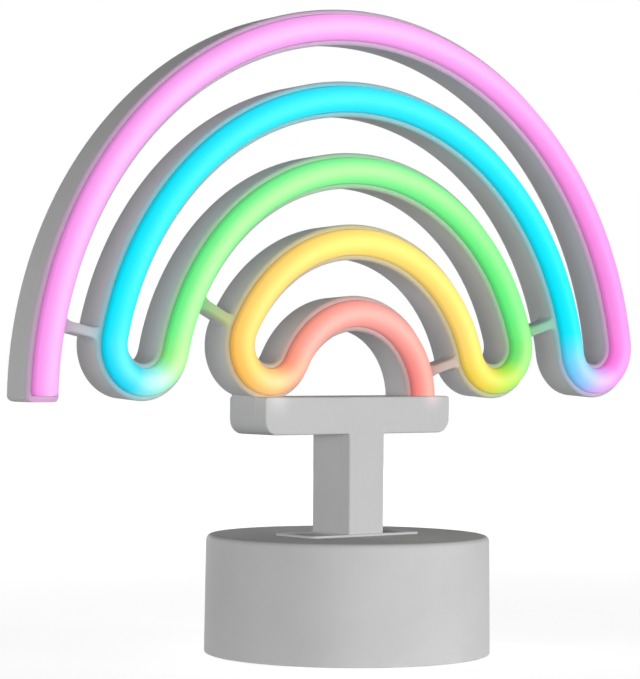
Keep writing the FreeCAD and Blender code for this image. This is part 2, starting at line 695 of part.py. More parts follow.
def base_shell():
    body_height = "(base_height - foot_lift)"
    outer = doc.addObject("Part::Cone", "shell_outer")
    bind(outer, Radius1="base_bottom_diameter / 2", Radius2="base_top_diameter / 2", Height=body_height)
    place(outer, "0", "0", "foot_lift")
    outer = rounded("shell_rounded", outer, "shell_edge_round",
                    lambda e: e.Closed and is_level(e, number("base_height")))
    inner = doc.addObject("Part::Cone", "shell_inner")
    bind(inner, Radius1="base_bottom_diameter / 2 - shell_wall", Radius2="base_top_diameter / 2 - shell_wall",
         Height=f"{body_height} - shell_top")
    place(inner, "0", "0", "foot_lift")
    cup = cut("shell_cup", outer, [inner])
    collar = middle_box("collar", "0", "0", "base_height - shell_top", "collar_length", "collar_width",
                        "collar_height + shell_top")
    collar = rounded("collar_rounded", collar, "collar_corner", lambda e: is_along(e, Z_AXIS))
    socket_length = "(foot_width + 2 * socket_gap)"
    socket_width = "(foot_depth + 2 * socket_gap)"
    socket = middle_box("socket_outer", "0", "0", SOCKET_BOTTOM, f"{socket_length} + 2 * socket_wall",
                        f"{socket_width} + 2 * socket_wall", "foot_length - collar_height")
    hole = middle_box("socket_hole", "0", "0", SOCKET_BOTTOM, socket_length, socket_width, "foot_length")
    posts = []
    bores = []
    for i, (x, y) in enumerate(POSTS):
        posts.append(rod(f"post_{i}", "post_diameter", f"base_height - shell_top / 2 - {COVER_TOP}", x, y,
                         COVER_TOP))
        bores.append(rod(f"post_bore_{i}", "screw_bore", "post_bore_depth", x, y, COVER_TOP))
    through_wall = f"({SWITCH_FACE} + opening_depth / 2)"
    switch_hole = middle_box("switch_hole", "0 - switch_offset", through_wall,
                             f"{BOARD_TOP} + switch_height / 2 - knob_height / 2 - opening_margin",
                             "knob_length + knob_travel + 2 * opening_margin", "opening_depth",
                             "knob_height + 2 * opening_margin")
    inlet_hole = middle_box("inlet_hole", "inlet_offset", through_wall, f"{BOARD_TOP} - opening_margin",
                            "inlet_length + 2 * opening_margin", "opening_depth",
                            "inlet_height + 2 * opening_margin")
    solid = fuse("shell_solid", [cup, collar, socket] + posts)
    return cut("base_shell", solid, [hole, switch_hole, inlet_hole] + bores)


def bottom_cover():
    plate = rod("cover_disc", f"2 * {COVER_RADIUS}", "cover_plate", "0", "0", COVER_BOTTOM)
    bay = middle_box("bay_outer", "0", "0", COVER_BOTTOM, f"{BAY_WIDTH} + 2 * bay_wall",
                     f"{BAY_LENGTH} + 2 * bay_wall", f"{BAY_TOP} - {COVER_BOTTOM}")
    posts = [rod(f"board_post_{i}", "screw_boss", "board_post_height + bay_roof", x, y,
                 f"{BAY_TOP} - bay_roof") for i, (x, y) in enumerate(BOARD_POSTS)]
    tools = [
        middle_box("door_opening", "0", "0", COVER_BOTTOM, DOOR_OPENING_WIDTH, DOOR_OPENING_LENGTH,
                   "cover_plate"),
        middle_box("bay_inside", "0", "0", COVER_TOP, BAY_WIDTH, BAY_LENGTH, BAY_HEIGHT),
        rod("pin_bore", "door_pin_diameter + 2 * pin_clearance",
            f"{DOOR_OPENING_WIDTH} + 2 * door_pin_length", f"0 - {DOOR_OPENING_WIDTH} / 2 - door_pin_length",
            DOOR_PIN_Y, DOOR_PIN_Z, ALONG_X),
    ]
    for i, (x, y) in enumerate(POSTS):
        tools.append(rod(f"cover_passage_{i}", "screw_passage", "cover_plate", x, y, COVER_BOTTOM))
        tools.append(rod(f"cover_recess_{i}", "head_recess", "screw_head_height - cover_inset", x, y,
                         COVER_BOTTOM))
    for i, (x, y) in enumerate(BOARD_POSTS):
        tools.append(rod(f"board_bore_{i}", "screw_bore", "board_post_height", x, y, BAY_TOP))
    for name, x, end in (("plus", -1, 1), ("minus", 1, -1)):
        tools.append(middle_box(f"{name}_tab_slot", f"{x} * cell_pitch",
                                f"{end} * ({BAY_LENGTH} + bay_wall) / 2", TAB_BOTTOM,
                                "contact_tab_width + 2 * fit_gap", "bay_wall + 2 * fit_gap",
                                "contact_plate + 2 * fit_gap"))
    return cut("bottom_cover", fuse("cover_solid", [plate, bay] + posts), tools)


def battery_door():
    """Door under the cells: it hangs on two pins at one end and has a finger grip at the other."""
    far_end = f"({DOOR_OPENING_LENGTH} / 2 - door_gap)"
    length = f"({DOOR_OPENING_WIDTH} - 2 * door_gap)"
    plate = box("door_plate", f"0 - {length} / 2", DOOR_PIN_Y, COVER_BOTTOM, length,
                f"{far_end} - {DOOR_PIN_Y}", "door_thickness")
    knuckle = rod("door_knuckle", "door_thickness", length, f"0 - {length} / 2", DOOR_PIN_Y, DOOR_PIN_Z,
                  ALONG_X)
    reach = f"({length} / 2 + door_gap + door_pin_length - pin_clearance)"
    pins = rod("door_pins", "door_pin_diameter", f"2 * {reach}", f"0 - {reach}", DOOR_PIN_Y, DOOR_PIN_Z,
               ALONG_X)
    grips = [middle_box(f"door_grip_{i}", "0", f"{far_end} - door_grip_inset - {i} * door_grip_pitch",
                        COVER_BOTTOM, "door_grip_width", "door_grip_length", "door_grip_depth")
             for i in range(GRIP_COUNT)]
    return cut("battery_door", fuse("door_solid", [plate, knuckle, pins]), grips)


def cell_direction(index):
    """Cells lie in turn with the nub to the back and to the front."""
    return 1 if index % 2 == 0 else -1


def aa_cells():
    cells = []
    for i in range(CELL_COUNT):
        x = f"{i - 1} * cell_pitch"
        end = cell_direction(i)
        full = "(cell_length + cell_nub_length)"
        can_start = f"0 - {full} / 2" if end > 0 else f"{full} / 2 - cell_length"
        can = rod(f"cell_can_{i}", "cell_diameter", "cell_length", x, can_start, CELL_AXIS, ALONG_Y)
        nub_start = f"0 - {full} / 2"
        nub = rod(f"cell_nub_{i}", "cell_nub_diameter", full, x, nub_start, CELL_AXIS, ALONG_Y)
        cells.append(fuse(f"cell_{i}", [can, nub]))
    return group("aa_cells", cells)


def contact(name, columns, end, has_tab):
    """Sprung contact plate at one end of the bay: a flat back with a leaf folded towards each cell."""
    wall = f"({end} * {BAY_LENGTH} / 2)"
    low = f"({CELL_AXIS} - contact_height / 2)"
    pieces = []
    for i in columns:
        body = doc.addObject("PartDesign::Body", f"{name}_leaf_{i + 1}")
        bind(body, Placement__Base__x=f"{i} * cell_pitch - contact_width / 2")
        depth = f"(0 - {end})"
        crown = f"({wall} + {depth} * contact_room)"
        inside = f"({wall} + {depth} * contact_plate)"
        crown_inside = f"({wall} + {depth} * (contact_room - contact_plate))"
        high = f"({CELL_AXIS} + contact_height / 2)"
        corners = [(wall, low), (wall, high), (inside, high), (crown, f"{CELL_AXIS} + contact_plate"),
                   (crown, f"{CELL_AXIS} - contact_plate"), (f"{inside} + {depth} * contact_plate", low),
                   (f"{inside} + {depth} * contact_plate", f"{low} + contact_plate"),
                   (crown_inside, f"{CELL_AXIS} - contact_plate"),
                   (crown_inside, f"{CELL_AXIS} + contact_plate"),
                   (inside, f"{high} - 2 * contact_plate"), (inside, low)]
        sketch = polygon(body, f"{name}_leaf_outline_{i + 1}", "YZ_Plane", corners)
        pad = body.newObject("PartDesign::Pad", f"{name}_leaf_pad_{i + 1}")
        pad.Profile = sketch
        bind(pad, Length="contact_width")
        pieces.append(body)
    if len(columns) > 1:
        middle = f"{sum(columns) / len(columns)} * cell_pitch"
        pieces.append(middle_box(f"{name}_link", middle, f"{wall} - {end} * contact_plate / 2", low,
                                 "cell_pitch", "contact_plate", "contact_height"))
    if has_tab:
        pieces.append(middle_box(f"{name}_tab", f"{columns[0]} * cell_pitch",
                                 f"{wall} + {end} * contact_tab_length / 2", f"{TAB_BOTTOM} + fit_gap",
                                 "contact_tab_width", "contact_tab_length", "contact_plate"))
    if len(pieces) == 1:
        return pieces[0]
    return fuse(name, pieces)


def battery_leads():
    tab_y = f"({BAY_LENGTH} / 2 + contact_tab_length - lead_diameter / 2)"
    tab_top = f"({TAB_BOTTOM} + fit_gap + contact_plate)"
    run = f"({BAY_TOP} + lead_bend)"
    near = "(0 - cell_pitch)"
    plus = lead("battery_lead_plus", [(near, tab_y, tab_top), (near, tab_y, BOARD_BOTTOM)])
    far = "cell_pitch"
    minus_y = f"(0 - {tab_y})"
    landing = f"({BOARD_FRONT} + battery_landing)"
    minus = lead("battery_lead_minus", [(far, minus_y, tab_top), (far, minus_y, run), (far, landing, run),
                                        (far, landing, BOARD_BOTTOM)])
    return [plus, minus]


def screw(name, length, x, y, z, direction):
    """A pan head whose underside lies at x, y, z and a shank along the direction."""
    away = FreeCAD.Vector(*direction)
    rotation = FreeCAD.Rotation(Z_AXIS, away)
    shank = rod(f"{name}_shank", "screw_shank", length, x, y, z, rotation)
    back = [f"{p} - {int(c)} * screw_head_height" for p, c in zip((x, y, z), direction)]
    head = rod(f"{name}_head", "screw_head", "screw_head_height", *back, rotation)
    return fuse(name, [shank, head])


def screws():
    seat = f"({COVER_BOTTOM} + screw_head_height - cover_inset)"
    base = [screw(f"base_screw_{i}", "base_screw_length", x, y, seat, (0, 0, 1))
            for i, (x, y) in enumerate(POSTS)]
    lock = [screw(f"lock_screw_{i}", "lock_plate_thickness + lock_screw_length - fit_gap",
                  "0 - lock_screw_offset", f"{side} * lock_screw_spread", LOCK_PLATE_BOTTOM, (0, 0, 1))
            for i, side in enumerate(SIDES)]
    cover = [screw(f"cover_screw_{side}", f"{STEM_BACK} - sign_wall + cover_screw_bite", x,
                   f"{RIM} + {STEM_BACK} - sign_wall", f"{ARCH_CENTRE} + {z}", (0, -1, 0))
             for side, x, z in COVER_SCREWS]
    board = [screw(f"board_screw_{i}", "board_screw_length", x, y, BOARD_TOP, (0, 0, -1))
             for i, (x, y) in enumerate(BOARD_POSTS)]
    return [group("base_screws", base), group("lock_screws", lock), group("cover_screws", cover),
            group("board_screws", board)]


def lock_plate():
    plate = middle_box("lock_blank", "0", "0", LOCK_PLATE_BOTTOM, "lock_plate_length", "lock_plate_width",
                       "lock_plate_thickness")
    slot = box("lock_lead_slot", "near_lead_offset - lead_diameter / 2 - lead_slot_margin",
               f"{RIM} + {LEAD_Y} - {LEAD_SLOT_WIDTH} / 2", LOCK_PLATE_BOTTOM, LEAD_SLOT_LENGTH,
               LEAD_SLOT_WIDTH, "lock_plate_thickness")
    passages = [rod(f"lock_passage_{i}", "screw_passage", "lock_plate_thickness", "0 - lock_screw_offset",
                    f"{side} * lock_screw_spread", LOCK_PLATE_BOTTOM) for i, side in enumerate(SIDES)]
    return cut("stem_lock_plate", plate, [slot] + passages)


def circuit_board():
    blank = middle_box("board_blank", "0", f"{BOARD_FRONT} + board_width / 2", BOARD_BOTTOM, "board_length",
                       "board_width", "board_thickness")
    passages = [rod(f"board_passage_{i}", "screw_passage", "board_thickness", x, y, BOARD_BOTTOM)
                for i, (x, y) in enumerate(BOARD_POSTS)]
    return cut("circuit_board", blank, passages)


def board_pieces():
    middle = f"({BOARD_FRONT} + board_width / 2)"
    chip = middle_box("driver_chip", "0", middle, BOARD_TOP, "chip_length", "chip_width", "chip_height")
    capacitor = rod("board_capacitor", "capacitor_diameter", "capacitor_height", "0 - capacitor_offset",
                    middle, BOARD_TOP)
    resistors = [middle_box(f"resistor_{i}", f"resistor_offset + {i} * resistor_pitch", middle, BOARD_TOP,
                            "resistor_width", "resistor_length", "resistor_height")
                 for i in range(RESISTOR_COUNT)]
    return [chip, capacitor, group("board_resistors", resistors)]


def slide_switch():
    body = middle_box("switch_blank", "0 - switch_offset", f"{SWITCH_FACE} - switch_width / 2", BOARD_TOP,
                      "switch_length", "switch_width", "switch_height")
    groove = middle_box("switch_groove", "0 - switch_offset", f"{SWITCH_FACE} - switch_groove_depth / 2",
                        f"{KNOB_AXIS} - tongue_height / 2 - fit_gap",
                        "tongue_length + knob_travel + 2 * fit_gap", "switch_groove_depth",
                        "tongue_height + 2 * fit_gap")
    body = cut("switch_body", body, [groove])
    tongue_middle = f"({SWITCH_FACE} + knob_gap - switch_groove_depth / 2)"
    tongue = middle_box("knob_tongue", KNOB_START, tongue_middle, f"{KNOB_AXIS} - tongue_height / 2",
                        "tongue_length", "switch_groove_depth", "tongue_height")
    head = middle_box("knob_head", KNOB_START, f"{SWITCH_FACE} + knob_gap + knob_reach / 2",
                      f"{KNOB_AXIS} - knob_height / 2", "knob_length", "knob_reach", "knob_height")
    return [body, fuse("switch_knob", [tongue, head])]


def power_inlet():
    back = f"({BOARD_BACK} + inlet_reach - inlet_width)"
    middle = f"({BOARD_BACK} + inlet_reach - inlet_width / 2)"
    outer = middle_box("inlet_outer", "inlet_offset", middle, BOARD_TOP, "inlet_length", "inlet_width",
                       "inlet_height")
    outer = rounded("inlet_rounded", outer, "inlet_wall * 2", lambda e: is_along(e, Y_AXIS))
    hollow = middle_box("inlet_hollow", "inlet_offset", f"{middle} + inlet_wall", f"{BOARD_TOP} + inlet_wall",
                        "inlet_length - 2 * inlet_wall", "inlet_width", "inlet_height - 2 * inlet_wall")
    shell = cut("inlet_shell", outer, [hollow])
    tongue = middle_box("inlet_tongue", "inlet_offset", f"{back} + inlet_wall + inlet_tongue_width / 2",
                        f"{BOARD_TOP} + inlet_height / 2 - inlet_tongue_height / 2", "inlet_tongue_length",
                        "inlet_tongue_width", "inlet_tongue_height")
    return [shell, tongue]


def rubber_feet():
    feet = [rod(f"rubber_foot_{i}", "rubber_foot_diameter", COVER_BOTTOM, x, y, "0")
            for i, (x, y) in enumerate(FEET)]
    return group("rubber_feet", feet)


pieces = [sign_housing(), stem_front_cover(), neon_diffuser(), led_strip()]
pieces += [coloured_leds(i) for i in range(len(COLOURS))]
pieces += [
    sign_lead("stem_lead_plus", "lead_diameter / 2", "upper_lead_drop", "near_lead_offset",
              f"({BOARD_FRONT} + plus_landing)"),
    sign_lead("stem_lead_minus", "lead_diameter / 2 + lead_spacing", "lower_lead_drop", "far_lead_offset",
              f"({BOARD_FRONT} + minus_landing)"),
]
pieces += [base_shell(), bottom_cover(), battery_door(), aa_cells()]
pieces += [
    contact("contact_plus", [-1], 1, True),
    contact("contact_bridge_back", [0, 1], 1, False),
    contact("contact_bridge_front", [-1, 0], -1, False),
    contact("contact_minus", [1], -1, True),
]
pieces += battery_leads()
pieces += screws()
pieces += [lock_plate(), circuit_board()]
pieces += board_pieces()
pieces += slide_switch()
pieces += power_inlet()
pieces.append(rubber_feet())
doc.recompute()

for item in doc.Objects:
    if "Invalid" in item.State or "Error" in item.State:
        raise RuntimeError(f"{item.Name} failed: {item.State}")
for piece in pieces:
    if piece.Shape.isNull() or not piece.Shape.isValid():
        raise RuntimeError(f"{piece.Name} has no valid shape")
os.makedirs("parts", exist_ok=True)
for piece in pieces:
    piece.Label = piece.Name
    piece.Shape.exportStep(f"parts/{piece.Label}.step")
    print(f"{piece.Label}: {len(piece.Shape.Solids)} solids, {piece.Shape.Volume:.0f} mm3")
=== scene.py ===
import bmesh
import bpy
import math
from mathutils import Color, Euler, Matrix, Vector


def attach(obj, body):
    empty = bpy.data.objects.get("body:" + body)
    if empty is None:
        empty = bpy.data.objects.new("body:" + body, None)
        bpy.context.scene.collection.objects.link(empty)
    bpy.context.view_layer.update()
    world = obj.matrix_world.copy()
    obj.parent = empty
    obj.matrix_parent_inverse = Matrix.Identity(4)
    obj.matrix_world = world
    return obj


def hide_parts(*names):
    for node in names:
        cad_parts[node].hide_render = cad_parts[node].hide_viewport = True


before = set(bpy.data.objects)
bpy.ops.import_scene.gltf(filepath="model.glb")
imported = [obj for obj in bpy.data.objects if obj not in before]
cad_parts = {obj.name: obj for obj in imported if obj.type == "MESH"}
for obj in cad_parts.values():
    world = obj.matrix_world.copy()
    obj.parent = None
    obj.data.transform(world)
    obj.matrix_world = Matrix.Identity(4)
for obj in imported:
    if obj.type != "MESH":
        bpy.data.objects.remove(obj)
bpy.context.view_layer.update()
mm = 0.001
tiny = 1e-6
scene = bpy.context.scene
print("frame loaded:", len(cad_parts), "nodes")


# small helpers for nodes; an input takes another node's output or a plain value
def feed(node, inputs):
    for key, value in inputs.items():
        if isinstance(value, bpy.types.NodeSocket):
            node.id_data.links.new(value, node.inputs[key])
        else:
            node.inputs[key].default_value = value


def addNode(tree, kind, inputs=None, **props):
    made = tree.nodes.new(kind)
    for key, value in props.items():
        setattr(made, key, value)
    feed(made, inputs or {})
    return made


def nodeOut(tree, kind, inputs=None, **props):
    return addNode(tree, kind, inputs, **props).outputs[0]


# the tree of the first of some values that is a socket
def treeOf(*values):
    return next(value.id_data for value in values if isinstance(value, bpy.types.NodeSocket))


def mathNode(operation, first, second=0.0):
    return nodeOut(treeOf(first, second), "ShaderNodeMath", {0: first, 1: second}, operation=operation)


def plus(first, second):
    return mathNode("ADD", first, second)


def minus(first, second):
    return mathNode("SUBTRACT", first, second)


def times(first, second):
    return mathNode("MULTIPLY", first, second)


def vectorNode(operation, first, second=(0.0, 0.0, 0.0)):
    inputs = {0: first, "Scale" if operation == "SCALE" else 1: second}
    made = addNode(treeOf(first, second), "ShaderNodeVectorMath", inputs, operation=operation)
    return made.outputs["Value" if operation == "LENGTH" else "Vector"]


def scaled(colour, level):
    return vectorNode("SCALE", colour, level)


def axesOf(vector):
    return addNode(vector.id_data, "ShaderNodeSeparateXYZ", {0: vector}).outputs


# inputs 6 and 7 of this node are its colours, and output 2 is the mixed one
def mixColours(factor, first, second, blend="MIX"):
    tree = treeOf(factor, first, second)
    inputs = {0: factor, 6: first, 7: second}
    return addNode(tree, "ShaderNodeMix", inputs, data_type="RGBA", blend_type=blend).outputs[2]


def mapRange(value, low, high, toLow=0.0, toHigh=1.0):
    inputs = {"Value": value, "From Min": low, "From Max": high, "To Min": toLow, "To Max": toHigh}
    return nodeOut(value.id_data, "ShaderNodeMapRange", inputs, interpolation_type="SMOOTHSTEP")


def noise(where, scale, detail, rough=0.5):
    inputs = {"Vector": where, "Scale": scale, "Detail": detail, "Roughness": rough}
    return nodeOut(where.id_data, "ShaderNodeTexNoise", inputs)


# a level that drifts between two values with a noise, most of which lies between these limits
def drift(cloud, low, high, cloudLow=0.2, cloudHigh=0.8):
    return mapRange(cloud, cloudLow, cloudHigh, low, high)


def bumped(height, strength, distance):
    inputs = {"Strength": strength, "Distance": distance, "Height": height}
    return nodeOut(height.id_data, "ShaderNodeBump", inputs)


def attribute(tree, name):
    return addNode(tree, "ShaderNodeAttribute", attribute_name=name).outputs["Fac"]


# from display levels, 0 to 255, to linear light
def linear(levels):
    return (*Color([level / 255 for level in levels]).from_srgb_to_scene_linear(), 1.0)


# a node group with named sockets: the tree, the outputs of its first node and its last node
def newGroup(name, kind, inputs, outputs):
    tree = bpy.data.node_groups.new(name, kind)
    for way, sockets in (("INPUT", inputs), ("OUTPUT", outputs)):
        for label, sort in sockets.items():
            tree.interface.new_socket(label, in_out=way, socket_type=f"NodeSocket{sort}")
    return tree, tree.nodes.new("NodeGroupInput").outputs, tree.nodes.new("NodeGroupOutput")


# surface effects that several finishes share; a cloud is given by its scale, detail and sometimes roughness
moulding = {"grainDetail": 1.0, "cloud": (38.0, 4.0, 0.55), "cloudMiddle": 0.5, "sheenShift": 0.16,
            "bumpStrength": 0.3}
speck = {"cellScale": 160.0, "inner": 0.05, "outer": 0.16, "strength": 0.45, "colour": (0.16, 0.155, 0.15, 1)}


def makeMouldedGrain():
    inputs = {"Vector": "Vector", "Colour": "Color", "Grain Scale": "Float", "Grain Height": "Float",
              "Mottle": "Float", "Roughness": "Float"}
    outputs = {"Colour": "Color", "Roughness": "Float", "Normal": "Vector"}
    tree, give, take = newGroup("mouldedGrain", "ShaderNodeTree", inputs, outputs)
    grain = noise(give["Vector"], give["Grain Scale"], moulding["grainDetail"])
    cloud = noise(give["Vector"], *moulding["cloud"])
    change = minus(cloud, moulding["cloudMiddle"])
    tone = plus(times(change, give["Mottle"]), 1.0)
    feed(take, {"Colour": scaled(give["Colour"], tone),
                "Roughness": plus(give["Roughness"], times(change, moulding["sheenShift"])),
                "Normal": bumped(grain, moulding["bumpStrength"], give["Grain Height"])})
    return tree


def makeSpecks():
    inputs = {"Vector": "Vector", "Cell Scale": "Float", "Share": "Float"}
    tree, give, take = newGroup("dustSpecks", "ShaderNodeTree", inputs, {"Mask": "Float"})
    inputs = {"Vector": give["Vector"], "Scale": give["Cell Scale"]}
    cells = addNode(tree, "ShaderNodeTexVoronoi", inputs).outputs
    dot = mapRange(cells["Distance"], speck["inner"], speck["outer"], 1.0, 0.0)
    pick = nodeOut(tree, "ShaderNodeSeparateColor", {"Color": cells["Color"]})
    kept = mathNode("LESS_THAN", pick, give["Share"])
    feed(take, {"Mask": times(dot, kept)})
    return tree


mouldedGrain = makeMouldedGrain()
dustSpecks = makeSpecks()


def newFinish(name):
    finish = bpy.data.materials.new(name)
    finish.use_nodes = True
    where = addNode(finish.node_tree, "ShaderNodeTexCoord").outputs["Object"]
    return finish, finish.node_tree.nodes["Principled BSDF"], where


def grainedFinish(name, look, metal=0.0):
    finish, shader, where = newFinish(name)
    tree = finish.node_tree
    scale, height = look["grain"]
    inputs = {"Vector": where, "Colour": look["colour"], "Grain Scale": scale, "Grain Height": height * mm,
              "Mottle": look["mottle"], "Roughness": look["rough"]}
    grain = addNode(tree, "ShaderNodeGroup", inputs, node_tree=mouldedGrain).outputs
    colour = grain["Colour"]
    if "specks" in look:
        inputs = {"Vector": where, "Cell Scale": speck["cellScale"], "Share": look["specks"]}
        mask = nodeOut(tree, "ShaderNodeGroup", inputs, node_tree=dustSpecks)
        colour = mixColours(times(mask, speck["strength"]), colour, speck["colour"])
    feed(shader, {"Base Color": colour, "Roughness": grain["Roughness"], "Normal": grain["Normal"],
                  "Metallic": metal, "Specular IOR Level": look.get("gloss", 0.5)})
    return finish


# light from a finish that isn't sampled as a lamp
def addGlow(finish, colour, strength=1.0):
    shader = finish.node_tree.nodes["Principled BSDF"]
    feed(shader, {"Emission Color": colour, "Emission Strength": strength})
    finish.cycles.emission_sampling = "NONE"
    return finish


# the grain is given by its scale and its height in millimetres
whiteLook = {"colour": (0.68, 0.68, 0.688, 1), "grain": (1100, 0.012), "mottle": 0.10, "rough": 0.55,
             "gloss": 0.05, "specks": 0.004}
plasticLooks = {
    # the base's plastic is a lighter copy of the white plastic: painted light standing in for light thrown up
    # by the floor
    "basePlasticLitCopy": {"colour": (0.735, 0.735, 0.74, 1), "grain": (1000, 0.016), "mottle": 0.14, "rough": 0.62,
                    "gloss": 0.02, "specks": 0.008},
    "blackPlastic": {"colour": (0.022, 0.022, 0.024, 1), "grain": (2200, 0.05), "mottle": 0.3, "rough": 0.5},
    "footRubber": {"colour": (0.035, 0.035, 0.034, 1), "grain": (1700, 0.12), "mottle": 0.35, "rough": 0.8,
                   "gloss": 0.2},
    "redLead": {"colour": (0.45, 0.02, 0.02, 1), "grain": (1800, 0.03), "mottle": 0.2, "rough": 0.45},
    "blackLead": {"colour": (0.02, 0.02, 0.02, 1), "grain": (1800, 0.03), "mottle": 0.2, "rough": 0.45},
    "greenBoard": {"colour": (0.02, 0.12, 0.045, 1), "grain": (1400, 0.03), "mottle": 0.3, "rough": 0.4},
    "stripBoard": {"colour": (0.75, 0.75, 0.72, 1), "grain": (1400, 0.02), "mottle": 0.1, "rough": 0.4},
}
metalLooks = {
    "screwSteel": {"colour": (0.55, 0.55, 0.54, 1), "grain": (2600, 0.02), "mottle": 0.25, "rough": 0.34},
    "inletSteel": {"colour": (0.62, 0.62, 0.63, 1), "grain": (3000, 0.015), "mottle": 0.2, "rough": 0.28},
    "contactSteel": {"colour": (0.66, 0.65, 0.62, 1), "grain": (2400, 0.02), "mottle": 0.2, "rough": 0.3},
    "capacitorCan": {"colour": (0.45, 0.46, 0.48, 1), "grain": (2000, 0.02), "mottle": 0.2, "rough": 0.32},
}
finishes = {name: grainedFinish(name, look) for name, look in plasticLooks.items()}
finishes.update({name: grainedFinish(name, look, metal=1.0) for name, look in metalLooks.items()})
print("finishes made:", len(finishes))


# the tube's winding path: five arches about one middle, joined by U-turns
sign = {
    "archMiddle": 87.4, "rimPlane": -4.2, "redRadius": 29.5, "pitch": 24.4, "barRise": 1.2,
    "channelWidth": 12.3, "channelBack": 10.9, "channelDepth": 13.6, "rimRound": 1.3, "backRound": 0.9,
    "endRim": 1.9, "endRound": 1.85, "endTaper": 0.3, "endDepthShare": 0.45, "endStep": 0.12,
    "tubeWidth": 8.75, "tubeLift": 0.3, "tubeSeat": 3.2, "tubeFrontStep": 0.55, "tubeEndRound": 1.8,
    "tubeEndTaper": 0.36, "grooveGap": 0.1, "grooveRound": 0.3,
}
colourNames = ["pink", "blue", "green", "yellow", "red"]
halfPitch = sign["pitch"] / 2
turnHeight = (sign["channelWidth"] + sign["pitch"]) / 2


def archRadius(index):
    return sign["redRadius"] + (len(colourNames) - 1 - index) * sign["pitch"]


def turnAngle(index):
    return math.asin(turnHeight / (archRadius(index) - halfPitch))


def arcPoints(centre, radius, start, end, step):
    count = max(2, math.ceil(abs(end - start) * radius / step))
    angles = [start + (end - start) * i / count for i in range(count + 1)]
    return [(centre[0] + radius * math.cos(a), centre[1] + radius * math.sin(a)) for a in angles]


# first and last angle of an arch, in the order in which the tube runs through it
def archEnds(index, startHeight, endHeight):
    last = len(colourNames) - 1
    radius = archRadius(index)
    right = turnAngle(index - index % 2) if index < last else math.asin(endHeight / radius)
    left = math.pi - (turnAngle(index - 1 + index % 2) if index > 0 else math.asin(startHeight / radius))
    return (left, right) if index % 2 == 0 else (right, left)


# one list of points for each arch and each turn, from the foot of the pink arch to that of the red one
def windingRuns(startHeight, endHeight, step=1.5):
    runs = []
    for i in range(len(colourNames)):
        radius = archRadius(i)
        runs.append(arcPoints((0, 0), radius, *archEnds(i, startHeight, endHeight), step))
        if i < len(colourNames) - 1:
            middle = radius - halfPitch
            angle = turnAngle(i) if i % 2 == 0 else math.pi - turnAngle(i)
            sweep = -math.pi if i % 2 == 0 else math.pi
            centre = (middle * math.cos(angle), middle * math.sin(angle))
            runs.append(arcPoints(centre, halfPitch, angle, angle + sweep, step / 2))
    return runs


def runLength(points):
    return sum(math.dist(a, b) for a, b in zip(points, points[1:]))


runLengths = [runLength(run) for run in windingRuns(sign["endRim"], 0.0)]


# how far along the whole path a place on an arch lies, from 0 to 1
def shareAlong(index, angle):
    start, end = archEnds(index, sign["endRim"], 0.0)
    before = sum(runLengths[:2 * index])
    return (before + runLengths[2 * index] * (angle - start) / (end - start)) / sum(runLengths)


# a place in the sign's own plane, or in one parallel to it
def inSign(x, z, y=sign["rimPlane"]):
    return Vector((x, y, sign["archMiddle"] + z)) * mm


def linked(name, data):
    made = bpy.data.objects.new(name, data)
    scene.collection.objects.link(made)
    return made


def curveThrough(name, points, closed=False):
    data = bpy.data.curves.new(name, "CURVE")
    data.dimensions = "3D"
    spline = data.splines.new("POLY")
    spline.points.add(len(points) - 1)
    for knot, point in zip(spline.points, points):
        knot.co = (*point, 1.0)
    spline.use_cyclic_u = closed
    return linked(name, data)


# closer points near both ends, on their arches, so that an end can be rounded
def denseEnds(points, reach=3.0, step=0.15):
    def towards(first, second):
        start = math.atan2(first[1], first[0])
        end = math.atan2(second[1], second[0])
        return arcPoints((0, 0), math.hypot(*first), start, end, step)[:-1]

    out = []
    for first, second in zip(points, points[1:]):
        near = min(math.dist(first, points[0]), math.dist(second, points[-1])) < reach
        out += towards(first, second) if near else [first]
    return out + [points[-1]]


def windingPath(name, startHeight, endHeight):
    flat = []
    for run in windingRuns(startHeight, endHeight):
        flat += run if not flat else run[1:]
    return curveThrough(name, [inSign(x, z) for x, z in denseEnds(flat)])


# closed outline with rounded corners; each corner is (x, y, radius)
def roundedOutline(corners, segments=6):
    out = []
    count = len(corners)
    for i in range(count):
        here = Vector(corners[i][:2])
        before = (Vector(corners[i - 1][:2]) - here).normalized()
        after = (Vector(corners[(i + 1) % count][:2]) - here).normalized()
        radius = corners[i][2]
        if radius <= 0:
            out.append(here)
            continue
        half = before.angle(after) / 2
        centre = here + (before + after).normalized() * radius / math.sin(half)
        start = here + before * radius / math.tan(half) - centre
        end = here + after * radius / math.tan(half) - centre
        turn = math.atan2(start.x * end.y - start.y * end.x, start.dot(end))
        for k in range(segments + 1):
            out.append(centre + Matrix.Rotation(turn * k / segments, 2) @ start)
    return out


# rectangle about a middle, with rounded corners
def roundedBox(x, y, width, height, radius, segments=6):
    signs = ((-1, -1), (1, -1), (1, 1), (-1, 1))
    return roundedOutline([(x + i * width / 2, y + k * height / 2, radius) for i, k in signs], segments)


def sectionCurve(name, outline):
    return curveThrough(name, [(p[0] * mm, p[1] * mm, 0.0) for p in outline], closed=True)


# the end of both geometry trees: plain geometry in one finish
def endTree(tree, take, geometry, finish):
    solid = nodeOut(tree, "GeometryNodeRealizeInstances", {"Geometry": geometry})
    feed(take, {0: nodeOut(tree, "GeometryNodeSetMaterial", {"Geometry": solid, "Material": finish})})
    return tree


sweepValues = ("Along From", "Along To", "Far Along", "Far From", "Far To", "Light From", "Light To",
               "Light Dip", "Start Reach", "Start Taper", "End Reach", "End Taper", "Depth Share")


